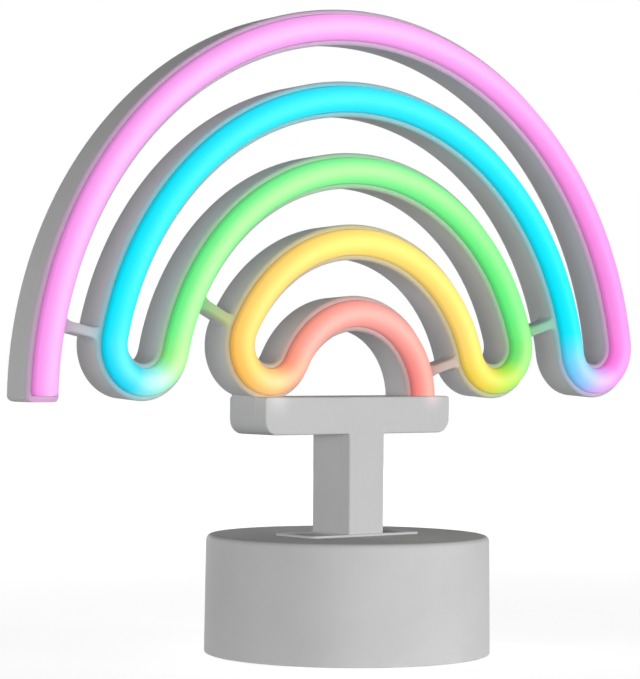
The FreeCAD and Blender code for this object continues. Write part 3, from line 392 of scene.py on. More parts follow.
# node tree: a section carried along a path, with its ends drawn in or flared
def makeSweepTree():
    inputs = {"Geometry": "Geometry", "Section": "Object", "Finish": "Material", "Depth Axis": "Vector"}
    inputs.update({name: "Float" for name in sweepValues})
    tree, give, take = newGroup("sectionAlongPath", "GeometryNodeTree", inputs, {"Geometry": "Geometry"})
    spline = addNode(tree, "GeometryNodeSplineParameter").outputs
    whole = addNode(tree, "GeometryNodeSplineLength").outputs["Length"]

    # how much narrower the section is near an end, on a quarter circle
    def narrowing(distance, end):
        reach = mathNode("MAXIMUM", give[f"{end} Reach"], tiny)
        share = mathNode("MINIMUM", mathNode("DIVIDE", distance, reach), 1.0)
        rest = minus(1.0, share)
        level = mathNode("SQRT", minus(1.0, times(rest, rest)))
        return times(give[f"{end} Taper"], minus(1.0, level))

    def between(name):
        change = minus(give[f"{name} To"], give[f"{name} From"])
        return plus(give[f"{name} From"], times(spline["Factor"], change))

    def stored(geometry, name, value, kind="FLOAT"):
        inputs = {"Geometry": geometry, "Name": name, "Value": value}
        return nodeOut(tree, "GeometryNodeStoreNamedAttribute", inputs, data_type=kind)

    def named(name, kind="FLOAT"):
        return nodeOut(tree, "GeometryNodeInputNamedAttribute", {"Name": name}, data_type=kind)

    # painted light from the tubes falls off towards the middle by the dip
    spread = minus(times(spline["Factor"], 2.0), 1.0)
    hollow = minus(1.0, times(spread, spread))
    kept = minus(1.0, times(hollow, give["Light Dip"]))
    toEnd = minus(whole, spline["Length"])
    marks = {"along": between("Along"), "farAlong": give["Far Along"], "farShare": between("Far"),
             "lit": times(between("Light"), kept),
             "drawn": plus(narrowing(spline["Length"], "Start"), narrowing(toEnd, "End"))}
    inputs = {"Curve": give["Geometry"], "Normal": give["Depth Axis"]}
    path = nodeOut(tree, "GeometryNodeSetCurveNormal", inputs, mode="FREE")
    for name, value in marks.items():
        path = stored(path, name, value)
    tangent = nodeOut(tree, "GeometryNodeInputTangent")
    sideAxis = vectorNode("CROSS_PRODUCT", tangent, give["Depth Axis"])
    path = stored(path, "sideAxis", sideAxis, "FLOAT_VECTOR")
    section = addNode(tree, "GeometryNodeObjectInfo", {"Object": give["Section"]}).outputs["Geometry"]
    place = nodeOut(tree, "GeometryNodeInputPosition")
    section = stored(section, "depth", axesOf(place)["X"])
    section = stored(section, "sideways", axesOf(place)["Y"])
    inputs = {"Curve": path, "Profile Curve": section, "Fill Caps": True}
    swept = nodeOut(tree, "GeometryNodeCurveToMesh", inputs)
    side = scaled(named("sideAxis", "FLOAT_VECTOR"), named("sideways"))
    inward = scaled(give["Depth Axis"], times(named("depth"), give["Depth Share"]))
    shift = scaled(vectorNode("ADD", side, inward), times(named("drawn"), -1.0))
    shaped = nodeOut(tree, "GeometryNodeSetPosition", {"Geometry": swept, "Offset": shift})
    for name in ("drawn", "sideAxis"):
        shaped = nodeOut(tree, "GeometryNodeRemoveAttribute", {"Geometry": shaped, "Name": name})
    return endTree(tree, take, shaped, give["Finish"])


# node tree: one shape repeated on a set of points, turned the same way and spun by chance within a spread
def makeRepeatTree(seed=7):
    inputs = {"Geometry": "Geometry", "Shape": "Object", "Finish": "Material", "Turn": "Vector",
              "Spin Spread": "Float"}
    tree, give, take = newGroup("shapeOnPoints", "GeometryNodeTree", inputs, {"Geometry": "Geometry"})

    def rotation(angles):
        return nodeOut(tree, "FunctionNodeEulerToRotation", {0: angles})

    shape = addNode(tree, "GeometryNodeObjectInfo", {"Object": give["Shape"]}).outputs["Geometry"]
    chance = addNode(tree, "FunctionNodeRandomValue", {"Seed": seed}, data_type="FLOAT")
    most = next(s for s in chance.inputs if s.name == "Max" and s.type == "VALUE")
    tree.links.new(give["Spin Spread"], most)
    spin = next(s for s in chance.outputs if s.type == "VALUE")
    spun = nodeOut(tree, "ShaderNodeCombineXYZ", {"Z": spin})
    inputs = {"Rotation": rotation(give["Turn"]), "Rotate By": rotation(spun)}
    turned = nodeOut(tree, "FunctionNodeRotateRotation", inputs, rotation_space="LOCAL")
    inputs = {"Points": give["Geometry"], "Instance": shape, "Rotation": turned}
    copies = nodeOut(tree, "GeometryNodeInstanceOnPoints", inputs)
    return endTree(tree, take, copies, give["Finish"])


sweepTree = makeSweepTree()
repeatTree = makeRepeatTree()


def evaluatedMesh(source):
    bpy.context.view_layer.update()
    lists = bpy.context.evaluated_depsgraph_get()
    return bpy.data.meshes.new_from_object(source.evaluated_get(lists), depsgraph=lists)


# run a tree on a source object and keep the result as a plain mesh
def builtMesh(source, tree, values):
    build = source.modifiers.new("build", "NODES")
    build.node_group = tree
    sockets = {s.name: s.identifier for s in tree.interface.items_tree if s.in_out == "INPUT"}
    for name, value in values.items():
        build[sockets[name]] = value
    mesh = evaluatedMesh(source)
    source.modifiers.remove(build)
    bpy.data.objects.remove(source)
    return mesh


# ends holds the reach and taper at the start and at the end; far and light are explained at the ribs
def sweptMesh(path, section, finish, ends=(0.0, 0.0, 0.0, 0.0), along=(0.0, 1.0), far=(0.0, 0.0, 0.0),
              light=(1.0, 1.0, 0.0), depthAxis=(0.0, 1.0, 0.0), depthShare=1.0):
    reach, taper, endReach, endTaper = ends
    levels = (*along, *far, *light, reach * mm, taper, endReach * mm, endTaper, depthShare)
    values = {"Section": section, "Finish": finish, "Depth Axis": depthAxis, **dict(zip(sweepValues, levels))}
    mesh = builtMesh(path, sweepTree, values)
    bpy.data.objects.remove(section)
    return mesh


def repeatedMesh(points, shape, finish, turn=(0.0, 0.0, 0.0), spin=0.0):
    dots = bpy.data.meshes.new("dots")
    dots.from_pydata(points, [], [])
    values = {"Shape": shape, "Finish": finish, "Turn": turn, "Spin Spread": spin}
    mesh = builtMesh(linked("dots", dots), repeatTree, values)
    bpy.data.objects.remove(shape)
    return mesh


def keptMesh(work, name):
    mesh = bpy.data.meshes.new(name)
    work.to_mesh(mesh)
    work.free()
    return mesh


def dress(mesh, finish):
    mesh.materials.clear()
    mesh.materials.append(finish)


# smooth shading that keeps edges sharper than the limit
def shadeByAngle(mesh, limit=38):
    work = bmesh.new()
    work.from_mesh(mesh)
    for face in work.faces:
        face.smooth = True
    for edge in work.edges:
        if len(edge.link_faces) == 2:
            edge.smooth = edge.calc_face_angle() < math.radians(limit)
    work.to_mesh(mesh)
    work.free()


def joined(name, meshes, finish):
    work = bmesh.new()
    for mesh in meshes:
        work.from_mesh(mesh)
    whole = keptMesh(work, name)
    dress(whole, finish)
    for face in whole.polygons:
        face.material_index = 0
    return whole


def placePiece(name, mesh, body, nodes, finish=None):
    mesh.name = name
    if finish:
        dress(mesh, finish)
    shadeByAngle(mesh)
    piece = linked(name, mesh)
    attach(piece, body)
    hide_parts(*nodes)
    print(name, "made:", len(mesh.polygons), "faces")


# a closed or open outline of (radius, height) pairs turned about the upright axis
def turnedMesh(name, outline, segments):
    work = bmesh.new()
    angles = [math.tau * k / segments for k in range(segments)]
    rings = []
    for radius, height in outline:
        spots = [(radius * math.cos(a), radius * math.sin(a), height) for a in angles]
        if radius < tiny:
            spots = [(0, 0, height)]
        rings.append([work.verts.new(Vector(spot) * mm) for spot in spots])
    for first, second in zip(rings, rings[1:]):
        for k in range(segments):
            after = (k + 1) % segments
            corners = [first[k % len(first)], first[after % len(first)], second[after % len(second)],
                       second[k % len(second)]]
            distinct = list(dict.fromkeys(corners))
            if len(distinct) > 2:
                work.faces.new(distinct)
    bmesh.ops.recalc_face_normals(work, faces=work.faces)
    return keptMesh(work, name)


# closed solid between two loops with as many points each
def prism(first, second):
    work = bmesh.new()
    near = [work.verts.new(Vector(point) * mm) for point in first]
    far = [work.verts.new(Vector(point) * mm) for point in second]
    work.faces.new(near)
    work.faces.new(far[::-1])
    for i in range(len(near)):
        after = (i + 1) % len(near)
        work.faces.new([near[after], near[i], far[i], far[after]])
    bmesh.ops.recalc_face_normals(work, faces=work.faces)
    return work, near, far


# an upright outline in X and Z given depth along Y, with its front and back edges rounded
def slabMesh(name, outline, front, back, frontRound=0.0, backRound=0.0, segments=4):
    work, near, far = prism([(p[0], front, p[1]) for p in outline], [(p[0], back, p[1]) for p in outline])
    for verts, radius in ((near, frontRound), (far, backRound)):
        ring = set(verts)
        edges = [e for e in work.edges if e.verts[0] in ring and e.verts[1] in ring]
        if radius > 0:
            bmesh.ops.bevel(work, geom=edges, offset=radius * mm, segments=segments, profile=0.5,
                            affect="EDGES", clamp_overlap=True)
    return keptMesh(work, name)


# cut tool meshes out of a mesh
def carved(mesh, tools):
    body = linked("carveBody", mesh)
    for tool in tools:
        cutter = linked("carveTool", tool)
        step = body.modifiers.new("carve", "BOOLEAN")
        step.operation = "DIFFERENCE"
        step.solver = "EXACT"
        step.object = cutter
        result = evaluatedMesh(body)
        body.modifiers.remove(step)
        body.data = result
        bpy.data.objects.remove(cutter)
    out = body.data
    bpy.data.objects.remove(body)
    return out


# neon tube: colour runs along the path, with blends on the U-turns
tube = {
    # colours on the left, at the top and on the right of each arch
    "core": {"pink": [(254, 196, 253), (253, 202, 255), (254, 166, 248)],
             "blue": [(72, 250, 250), (76, 252, 252), (36, 246, 250)],
             "green": [(200, 255, 178), (194, 255, 172), (158, 252, 154)],
             "yellow": [(253, 244, 138), (255, 252, 134), (254, 249, 132)],
             "red": [(253, 198, 186), (254, 196, 184), (254, 190, 174)]},
    "edge": {"pink": [(250, 150, 236), (250, 160, 240), (246, 134, 220)],
             "blue": [(0, 229, 251), (34, 227, 250), (0, 226, 250)],
             "green": [(104, 238, 134), (118, 244, 146), (98, 238, 126)],
             "yellow": [(255, 207, 108), (255, 221, 114), (252, 212, 110)],
             "red": [(246, 152, 136), (248, 156, 150), (244, 134, 130)]},
    # colours on each turn as (share of the turn, core, edge)
    "turns": [
        [(0.30, (255, 176, 250), (252, 120, 222)), (0.58, (240, 214, 255), (214, 170, 246)),
         (0.78, (190, 226, 255), (120, 196, 250))],
        [(0.42, (120, 250, 255), (20, 214, 246)), (0.66, (226, 255, 246), (150, 240, 226)),
         (0.90, (214, 255, 178), (140, 236, 130))],
        [(0.25, (190, 252, 150), (104, 224, 108)), (0.52, (222, 250, 116), (170, 226, 72)),
         (0.78, (250, 250, 118), (238, 208, 74))],
        [(0.35, (255, 236, 132), (253, 190, 90)), (0.66, (255, 238, 176), (252, 196, 122)),
         (0.92, (255, 206, 172), (250, 150, 124))],
    ],
    "blendReach": 9.0, "body": 0.3, "glow": 0.85, "thrownShare": 0.5, "coreHalf": 0.08,
    "flank": (-1.5, -0.1), "flankPaintedShade": 0.58, "seamFrom": 0.9, "seamPaintedShade": 0.74,
    "cloud": (140.0, 2.0), "fineCloud": (900.0, 2.0), "milky": 0.97, "rough": (0.42, 0.5), "gloss": 0.12,
    "bumpStrength": 0.15, "bumpHeight": 0.03,
    # painted light from the tube on the housing near it, and painted light at the channel's closed end
    "paintedGlowLevel": 0.165, "paintedCastShare": 0.5, "paintedShadeLevel": 0.7, "paintedLightReach": 5.0, "paintedLightCore": 0.35,
    "endLight": (1.3, 1.0, 0.0),
}
halfTube = sign["tubeWidth"] / 2
halfGroove = halfTube + sign["grooveGap"]


# colours of the tube at a place along its path
def makeTubeColours():
    outputs = {"Core": "Color", "Edge": "Color"}
    tree, give, take = newGroup("tubeColours", "ShaderNodeTree", {"Along": "Float"}, outputs)

    def ramp(part, index):
        node = addNode(tree, "ShaderNodeValToRGB", {0: give["Along"]})
        stops = []
        done = 0.0
        for k, length in enumerate(runLengths):
            if k % 2 == 0:
                colours = tube[part][colourNames[k // 2]]
                first, top, last = colours if k % 4 == 0 else colours[::-1]
                stops.append((done + (tube["blendReach"] if k else 0), first))
                stops.append((done + length / 2, top))
                stops.append((done + length - (tube["blendReach"] if k < len(runLengths) - 1 else 0), last))
            else:
                turn = tube["turns"][k // 2]
                stops += [(done + length * share, colours[index]) for share, *colours in turn]
            done += length
        marks = node.color_ramp.elements
        while len(marks) < len(stops):
            marks.new(0.5)
        # all places come first, because a mark that moves past another changes its index
        for mark, stop in zip(marks, stops):
            mark.position = stop[0] / done
        for mark, stop in zip(marks, stops):
            mark.color = linear(stop[1])
        node.color_ramp.interpolation = "EASE"
        return node.outputs[0]

    feed(take, {"Core": ramp("core", 0), "Edge": ramp("edge", 1)})
    return tree


tubeColours = makeTubeColours()


def coloursAt(tree, name):
    return addNode(tree, "ShaderNodeGroup", {"Along": attribute(tree, name)}, node_tree=tubeColours).outputs


def tubeFinish():
    finish, shader, where = newFinish("neonTube")
    tree = finish.node_tree
    colours = coloursAt(tree, "along")
    side = mathNode("DIVIDE", mathNode("ABSOLUTE", attribute(tree, "sideways")), halfTube * mm)
    lit = mixColours(mapRange(side, tube["coreHalf"], 1.0), colours["Core"], colours["Edge"])
    # painted shade: the tube is darker on its flanks, where they sink into the groove, and along a thin line
    # at its edges where it meets the rim
    front, back = tube["flank"]
    flank = mapRange(attribute(tree, "depth"), front * mm, back * mm, 1.0, tube["flankPaintedShade"])
    seam = mapRange(side, tube["seamFrom"], 1.0, 1.0, tube["seamPaintedShade"])
    cloud = noise(where, *tube["cloud"])
    fine = noise(where, *tube["fineCloud"])
    feed(shader, {"Base Color": scaled(colours["Edge"], tube["body"]),
                  "Roughness": drift(cloud, *tube["rough"]),
                  "Specular IOR Level": tube["gloss"],
                  "Normal": bumped(fine, tube["bumpStrength"], tube["bumpHeight"] * mm)})
    # the tube throws less light on its neighbours than its own glow would
    bounced = addNode(tree, "ShaderNodeLightPath").outputs["Is Diffuse Ray"]
    thrown = mapRange(bounced, 0.0, 1.0, 1.0, tube["thrownShare"])
    shade = times(mathNode("MINIMUM", flank, seam), drift(cloud, tube["milky"], 1.0))
    return addGlow(finish, scaled(lit, times(shade, thrown)), tube["glow"])


# painted light and shade from the tube: the plastic next to it gets a painted cast of the tube's colour,
# painted shade and a painted glow, though it is no lamp
def addPaintedTubeLight(finish):
    tree = finish.node_tree
    shader = tree.nodes["Principled BSDF"]

    def paintedLightHue(name):
        colours = coloursAt(tree, name)
        return mixColours(tube["paintedLightCore"], colours["Edge"], colours["Core"])

    hue = mixColours(attribute(tree, "farShare"), paintedLightHue("along"), paintedLightHue("farAlong"))
    away = minus(mathNode("ABSOLUTE", attribute(tree, "sideways")), halfGroove * mm)
    distance = plus(mathNode("MAXIMUM", away, 0.0), attribute(tree, "depth"))
    near = mapRange(distance, 0.0, tube["paintedLightReach"] * mm, 1.0, 0.0)
    near = times(near, attribute(tree, "lit"))
    plain = shader.inputs["Base Color"].links[0].from_socket
    # painted shade and a painted cast of the tube's colour, multiplied into the plastic's own colour
    shaded = scaled(hue, tube["paintedShadeLevel"])
    paintedCastAndShade = mixColours(times(near, tube["paintedCastShare"]), plain, shaded, "MULTIPLY")
    feed(shader, {"Base Color": paintedCastAndShade})
    # painted glow of the tube's light on the plastic near it
    return addGlow(finish, scaled(hue, times(near, tube["paintedGlowLevel"])))


finishes["neonTube"] = tubeFinish()
finishes["signPlastic"] = addPaintedTubeLight(grainedFinish("signPlastic", whiteLook))


def tubeSection():
    front, seat = -sign["tubeLift"], sign["tubeSeat"]
    sides = [(front, -halfTube), (seat, -halfTube), (seat, halfTube)]
    dome = arcPoints((front, 0), halfTube, math.pi / 2, math.pi * 3 / 2, sign["tubeFrontStep"])
    return sectionCurve("tubeSection", sides + dome[:-1])


tubePath = windingPath("tubePath", sign["endRim"] + sign["grooveGap"], sign["barRise"] + sign["grooveGap"])
tubeMesh = sweptMesh(tubePath, tubeSection(), finishes["neonTube"],
                     ends=(sign["tubeEndRound"], sign["tubeEndTaper"], 0.0, 0.0))
placePiece("neonTube", tubeMesh, "lamp", ["neon_diffuser"])


# white channel behind the tube, its closed end, the ribs between the arches and the back of the bar and stem
ribs = {
    "heights": [23.0, 25.3, 29.4, 11.3], "thickness": 3.4, "depth": 8.0, "front": 0.15, "round": 1.0,
    "flare": 1.0, "flareReach": 3.4, "rootInset": 5.5,
    # painted light from the tubes at the outer arch, at the inner arch, and its loss half way
    "light": [(0.9, 0.9, 0.75), (1.1, 1.4, 0.15), (1.6, 1.3, 0.0), (0.7, 1.2, 0.3)],
    # share of the inner arch's colour in the painted light at the outer arch and at the inner arch
    "innerHue": [(0.0, 1.0), (0.5, 1.0), (0.05, 0.7), (0.5, 1.0)],
}
halfChannel = sign["channelWidth"] / 2
halfBack = sign["channelBack"] / 2


def channelOutline(grooved):
    deep, seat = sign["channelDepth"], sign["tubeSeat"]
    corners = [(0, -halfChannel, sign["rimRound"]), (deep, -halfBack, sign["backRound"]),
               (deep, halfBack, sign["backRound"]), (0, halfChannel, sign["rimRound"])]
    if grooved:
        corners += [(0, halfGroove, sign["grooveRound"]), (seat, halfGroove, 0), (seat, -halfGroove, 0),
                    (0, -halfGroove, sign["grooveRound"])]
    return roundedOutline(corners)


def channelEndPath():
    radius = archRadius(0)
    top = math.asin(sign["endRim"] / radius)
    points = arcPoints((0, 0), radius, math.pi, math.pi - top, sign["endStep"])
    return curveThrough("endPath", [inSign(x, z) for x, z in points])


# each rib lies on a line through the middle of the arches, on the side without a turn
def ribMesh(index, height, steps=48):
    angle = math.asin(height / (archRadius(index) - halfPitch))
    angle = math.pi - angle if index % 2 == 0 else angle
    outer = archRadius(index) - ribs["rootInset"]
    inner = archRadius(index + 1) + ribs["rootInset"]
    radii = [outer + (inner - outer) * k / steps for k in range(steps + 1)]
    path = curveThrough("ribPath", [inSign(r * math.cos(angle), r * math.sin(angle)) for r in radii])
    middle, deep = (ribs["front"] + ribs["depth"]) / 2, ribs["depth"] - ribs["front"]
    section = sectionCurve("ribSection", roundedBox(middle, 0, deep, ribs["thickness"], ribs["round"]))
    ends = (ribs["flareReach"], -ribs["flare"], ribs["flareReach"], -ribs["flare"])
    place = shareAlong(index, angle)
    far = (shareAlong(index + 1, angle), *ribs["innerHue"][index])
    return sweptMesh(path, section, finishes["signPlastic"], ends, (place, place), far, ribs["light"][index],
                     depthShare=0.0)


stand = {
    "barLeft": -43.7, "barRight": 37.3, "barHeight": 11.5, "barCorner": 5.0, "topCorner": 0.9,
    "stemHalf": 7.7, "stemHeight": 34.8, "inner": 0.7,
    "front": -10.1, "seam": -4.2, "back": 10.1, "edge": 1.2, "seamEdge": 0.26,
    "screws": [(-39.2, -5.75), (32.8, -5.75), (-2.6, -28.5)],
    "recess": 2.6, "recessDepth": 2.0, "recessFlare": 0.35, "recessClear": 1.0, "recessSegments": 40,
    "neckLength": 6.2, "neckRise": 1.0, "neckFront": -2.2, "neckBack": 9.2, "neckEdge": 0.5,
    "neckInset": 0.02,
}


# light that the tube throws on the bar below its foot and below its last turn
spill = {
    "red": {"place": (29.5, 1.2), "reach": 8.0, "colour": (0.26, 0.125, 0.12)},
    "yellow": {"place": (-38.5, 1.2), "reach": 10.0, "colour": (0.17, 0.155, 0.14)},
}


def addSpill(finish):
    tree = finish.node_tree
    where = addNode(tree, "ShaderNodeTexCoord").outputs["Object"]
    total = (0.0, 0.0, 0.0)
    for spot in spill.values():
        away = vectorNode("SUBTRACT", where, inSign(*spot["place"]))
        flat = vectorNode("MULTIPLY", away, (1, 0, 1))
        near = mapRange(vectorNode("LENGTH", flat), 0.0, spot["reach"] * mm, 1.0, 0.0)
        total = vectorNode("ADD", total, scaled(spot["colour"], times(near, near)))
    return addGlow(finish, total)


def standOutline():
    low = -stand["barHeight"]
    foot = low - stand["stemHeight"]
    left, right, half, top = stand["barLeft"], stand["barRight"], stand["stemHalf"], sign["barRise"]
    corners = [(left, low, stand["barCorner"]), (-half, low, stand["inner"]), (-half, foot, 0),
               (half, foot, 0), (half, low, stand["inner"]), (right, low, stand["barCorner"]),
               (right, top, stand["topCorner"]), (left, top, stand["topCorner"])]
    return [(p[0], p[1] + sign["archMiddle"]) for p in roundedOutline(corners)]


def recessTool(x, z):
    radius, deep, flare, clear = [stand["recess" + part] for part in ("", "Depth", "Flare", "Clear")]
    outline = [(0, deep), (radius, deep), (radius, flare), (radius + flare, 0), (radius + flare, -clear),
               (0, -clear)]
    tool = turnedMesh("recess", outline, stand["recessSegments"])
    tool.transform(Matrix.Translation(inSign(x, z, stand["back"])) @ Matrix.Rotation(math.pi / 2, 4, "X"))
    return tool


# short neck that runs from the left end of the bar up into the wall of the lowest turn
def neckMesh():
    left = stand["barLeft"] + stand["neckInset"]
    right = stand["barLeft"] + stand["neckLength"]
    top = sign["archMiddle"] + sign["barRise"] + stand["neckRise"]
    low = sign["archMiddle"] - stand["neckRise"]
    outline = [(left, low), (right, low), (right, top), (left, top)]
    return slabMesh("neck", outline, stand["neckFront"], stand["neckBack"], backRound=stand["neckEdge"])


backHalf = slabMesh("standBack", standOutline(), stand["seam"], stand["back"], stand["seamEdge"],
                    stand["edge"])
backHalf = carved(backHalf, [recessTool(x, z) for x, z in stand["screws"]])
channel = sweptMesh(windingPath("channelPath", sign["endRim"], 0.0),
                    sectionCurve("channelSection", channelOutline(True)), finishes["signPlastic"])
channelEnd = sweptMesh(channelEndPath(), sectionCurve("endSection", channelOutline(False)),
                       finishes["signPlastic"], (sign["endRound"], sign["endTaper"], 0.0, 0.0), (0.0, 0.0),
                       light=tube["endLight"], depthShare=sign["endDepthShare"])
ribMeshes = [ribMesh(i, height) for i, height in enumerate(ribs["heights"])]
housing = [channel, channelEnd, backHalf, neckMesh()] + ribMeshes
housing = joined("signHousing", housing, finishes["signPlastic"])
placePiece("signHousing", housing, "lamp", ["sign_housing"])
frontHalf = slabMesh("stemFrontCover", standOutline(), stand["front"], stand["seam"], stand["edge"],
                     stand["seamEdge"])
finishes["coverPlastic"] = addSpill(grainedFinish("coverPlastic", whiteLook))
placePiece("stemFrontCover", frontHalf, "lamp", ["stem_front_cover"],
           finishes["coverPlastic"])


# round base with its lip around the stem, and the openings at the back
base = {
    "bottomRadius": 49.0, "topRadius": 48.5, "height": 41.1, "lift": 0.8, "topRound": 1.8, "bottomRound": 0.6,
    "wall": 2.4, "insideDraft": 0.4, "ceiling": 38.5, "segments": 200, "edgeSegments": 8,
    "lipLength": 48.0, "lipWidth": 21.8, "lipCorner": 3.0, "lipHeight": 0.8, "lipThickness": 1.3,
    "lipSink": 0.3, "lipRound": 0.3, "lipRoundSegments": 4,
    # middle, length and height of each opening
    "openings": {"switch": (-11.0, 28.9, 9.2, 3.8), "inlet": (11.0, 28.1, 8.3, 3.6)},
    "openingCorner": 0.7, "openingSegments": 4, "openingFrom": 42.0, "openingTo": 60.0,
}


def openingTool(x, z, length, height):
    outline = roundedBox(x, z, length, height, base["openingCorner"], base["openingSegments"])
    return slabMesh("opening", outline, base["openingFrom"], base["openingTo"])


def baseOutline():
    inside = base["bottomRadius"] - base["wall"]
    corners = [(0, base["height"], 0), (base["topRadius"], base["height"], base["topRound"]),
               (base["bottomRadius"], base["lift"], base["bottomRound"]), (inside, base["lift"], 0),
               (inside - base["insideDraft"], base["ceiling"], 0), (0, base["ceiling"], 0)]
    return [(p[0], p[1]) for p in roundedOutline(corners, base["edgeSegments"])]


def lipMesh():
    thick, rise, sink = base["lipThickness"], base["lipHeight"], base["lipSink"]
    length, width, corner = base["lipLength"], base["lipWidth"], base["lipCorner"]
    loop = roundedBox(0, 0, length - thick, width - thick, corner - thick / 2, base["edgeSegments"])
    path = curveThrough("lipPath", [Vector((p[0], p[1], base["height"])) * mm for p in loop], closed=True)
    outline = roundedOutline([(-sink, -thick / 2, 0), (rise, -thick / 2, base["lipRound"]),
                              (rise, thick / 2, base["lipRound"]), (-sink, thick / 2, 0)],
                             base["lipRoundSegments"])
    section = sectionCurve("lipSection", outline)
    return sweptMesh(path, section, finishes["basePlasticLitCopy"], depthAxis=(0.0, 0.0, 1.0))


shell = turnedMesh("baseShell", baseOutline(), base["segments"])
shell = carved(shell, [openingTool(*opening) for opening in base["openings"].values()])
shell = joined("baseShell", [shell, lipMesh()], finishes["basePlasticLitCopy"])
placePiece("baseShell", shell, "lamp", ["base_shell"])


# screws with a domed head and a cross drive
screw = {
    "radius": 2.4, "height": 1.8, "domeRise": 0.99, "domeStep": 12, "domePoints": 8, "edge": 0.12,
    "shank": 1.2, "shankLength": 3.0, "segments": 28, "spin": 1.5,
    "slotLength": 3.0, "slotWidth": 0.62, "slotDepth": 0.95, "slotTaper": 0.55, "slotClear": 1.0,
    "circle": 41.2, "circleAngles": (30, 150, 210, 330), "circleHeight": 2.6,
}


# head up, its underside at height 0
def screwShape():
    radius, height, rise, edge = screw["radius"], screw["height"], screw["domeRise"], screw["edge"]
    angles = [math.radians(90 - screw["domeStep"] * k) for k in range(screw["domePoints"])]
    dome = [(radius * math.cos(a), height - rise + rise * math.sin(a)) for a in angles]
    outline = dome + [(radius, edge), (radius - edge, 0), (screw["shank"], 0),
                      (screw["shank"], -screw["shankLength"]), (0, -screw["shankLength"])]
    half, side = screw["slotLength"] / 2, screw["slotWidth"] / 2
    arm = [Vector((half, -side)), Vector((half, side)), Vector((side, side))]
    plan = [Matrix.Rotation(math.pi / 2 * k, 2) @ point for k in range(4) for point in arm]
    top = [(*point, height + screw["slotClear"]) for point in plan]
    bottom = [(*(point * screw["slotTaper"]), height - screw["slotDepth"]) for point in plan]
    cross = keptMesh(prism(top, bottom)[0], "cross")
    return linked("screwShape", carved(turnedMesh("screw", outline, screw["segments"]), [cross]))


def placeScrews(name, places, turn, node):
    mesh = repeatedMesh(places, screwShape(), finishes["screwSteel"], turn, screw["spin"])
    placePiece(name, mesh, "lamp", [node])


circleAngles = [math.radians(a) for a in screw["circleAngles"]]
around = [(screw["circle"] * math.cos(a), screw["circle"] * math.sin(a)) for a in circleAngles]
underPlaces = [Vector((x, y, screw["circleHeight"])) * mm for x, y in around]
backPlaces = [inSign(x, z, stand["back"] - stand["recessDepth"]) for x, z in stand["screws"]]
placeScrews("baseScrews", underPlaces, (math.pi, 0.0, 0.0), "base_screws")
placeScrews("coverScrews", backPlaces, (-math.pi / 2, 0.0, 0.0), "cover_screws")


# rubber feet, dished below
foot = {
    "radius": 4.5, "height": 1.2, "round": 0.5, "roundStep": 18, "roundPoints": 6, "segments": 48,
    "dish": 0.25, "dishFlat": 0.45, "dishEdge": 0.62,
    "places": [(35.15, 0), (-35.15, 0), (0, 38.15), (0, -38.15)],
}


def footShape():
    radius, edge = foot["radius"], foot["round"]
    angles = [math.radians(foot["roundStep"] * k) for k in range(foot["roundPoints"])]
    dish = [(0, foot["dish"]), (radius * foot["dishFlat"], foot["dish"]), (radius * foot["dishEdge"], 0)]
    rounded = [(radius - edge * (1 - math.sin(a)), edge * (1 - math.cos(a))) for a in angles]
    outline = dish + rounded + [(radius, foot["height"]), (0, foot["height"])]
    return linked("footShape", turnedMesh("foot", outline, foot["segments"]))


feet = repeatedMesh([Vector((x, y, 0)) * mm for x, y in foot["places"]], footShape(), finishes["footRubber"])
placePiece("rubberFeet", feet, "lamp", ["rubber_feet"])


# knob of the slide switch: a block with grips, on a tongue that reaches into the switch
knob = {
    "x": -13.0, "z": 28.9, "length": 4.4, "height": 3.0, "corner": 0.5, "cornerSegments": 4,
    "root": 43.5, "rootRound": 0.2, "outer": 48.2, "round": 0.4,
    "tongueLength": 4.0, "tongueHeight": 1.8, "tongueCorner": 0.2, "tongueRound": 0.1,
    "tongueSegments": 3, "tongueFrom": 41.92, "tongueTo": 44.0,
    "grips": 4, "gripPitch": 1.0, "gripRadius": 0.32, "gripLength": 2.3, "gripPoint": 0.1, "gripSegments": 16,
}


def knobMesh():
    x, z, outer = knob["x"], knob["z"], knob["outer"]
    outline = roundedBox(x, z, knob["length"], knob["height"], knob["corner"], knob["cornerSegments"])
    block = slabMesh("knob", outline, knob["root"], outer, knob["rootRound"], knob["round"])
    outline = roundedBox(x, z, knob["tongueLength"], knob["tongueHeight"], knob["tongueCorner"],
                         knob["tongueSegments"])
    tongue = slabMesh("tongue", outline, knob["tongueFrom"], knob["tongueTo"], knob["tongueRound"])
    half, radius = knob["gripLength"] / 2, knob["gripRadius"]
    shoulder = half - knob["gripPoint"]
    bar = turnedMesh("grip", [(0, -half), (radius, -shoulder), (radius, shoulder), (0, half)],
                     knob["gripSegments"])
    first = x - knob["gripPitch"] * (knob["grips"] - 1) / 2
    spots = [Vector((first + knob["gripPitch"] * k, outer, z)) * mm for k in range(knob["grips"])]
    grips = repeatedMesh(spots, linked("grip", bar), finishes["blackPlastic"])
    return joined("switchKnob", [block, tongue, grips], finishes["blackPlastic"])


placePiece("switchKnob", knobMesh(), "knob", ["switch_knob"])


# lights on the strip
led = {
    "colours": {"pink": (255, 110, 225), "blue": (0, 205, 255), "green": (95, 240, 115),
                "yellow": (255, 225, 90), "red": (255, 110, 100)},
    "cloud": (700.0, 2.0), "dimmest": 0.8, "rough": 0.35,
}


def ledFinish(name, colour):
    finish, shader, where = newFinish(name)
    level = drift(noise(where, *led["cloud"]), led["dimmest"], 1.0)
    lit = scaled(linear(colour)[:3], level)
    feed(shader, {"Base Color": lit, "Roughness": led["rough"]})
    return addGlow(finish, lit)


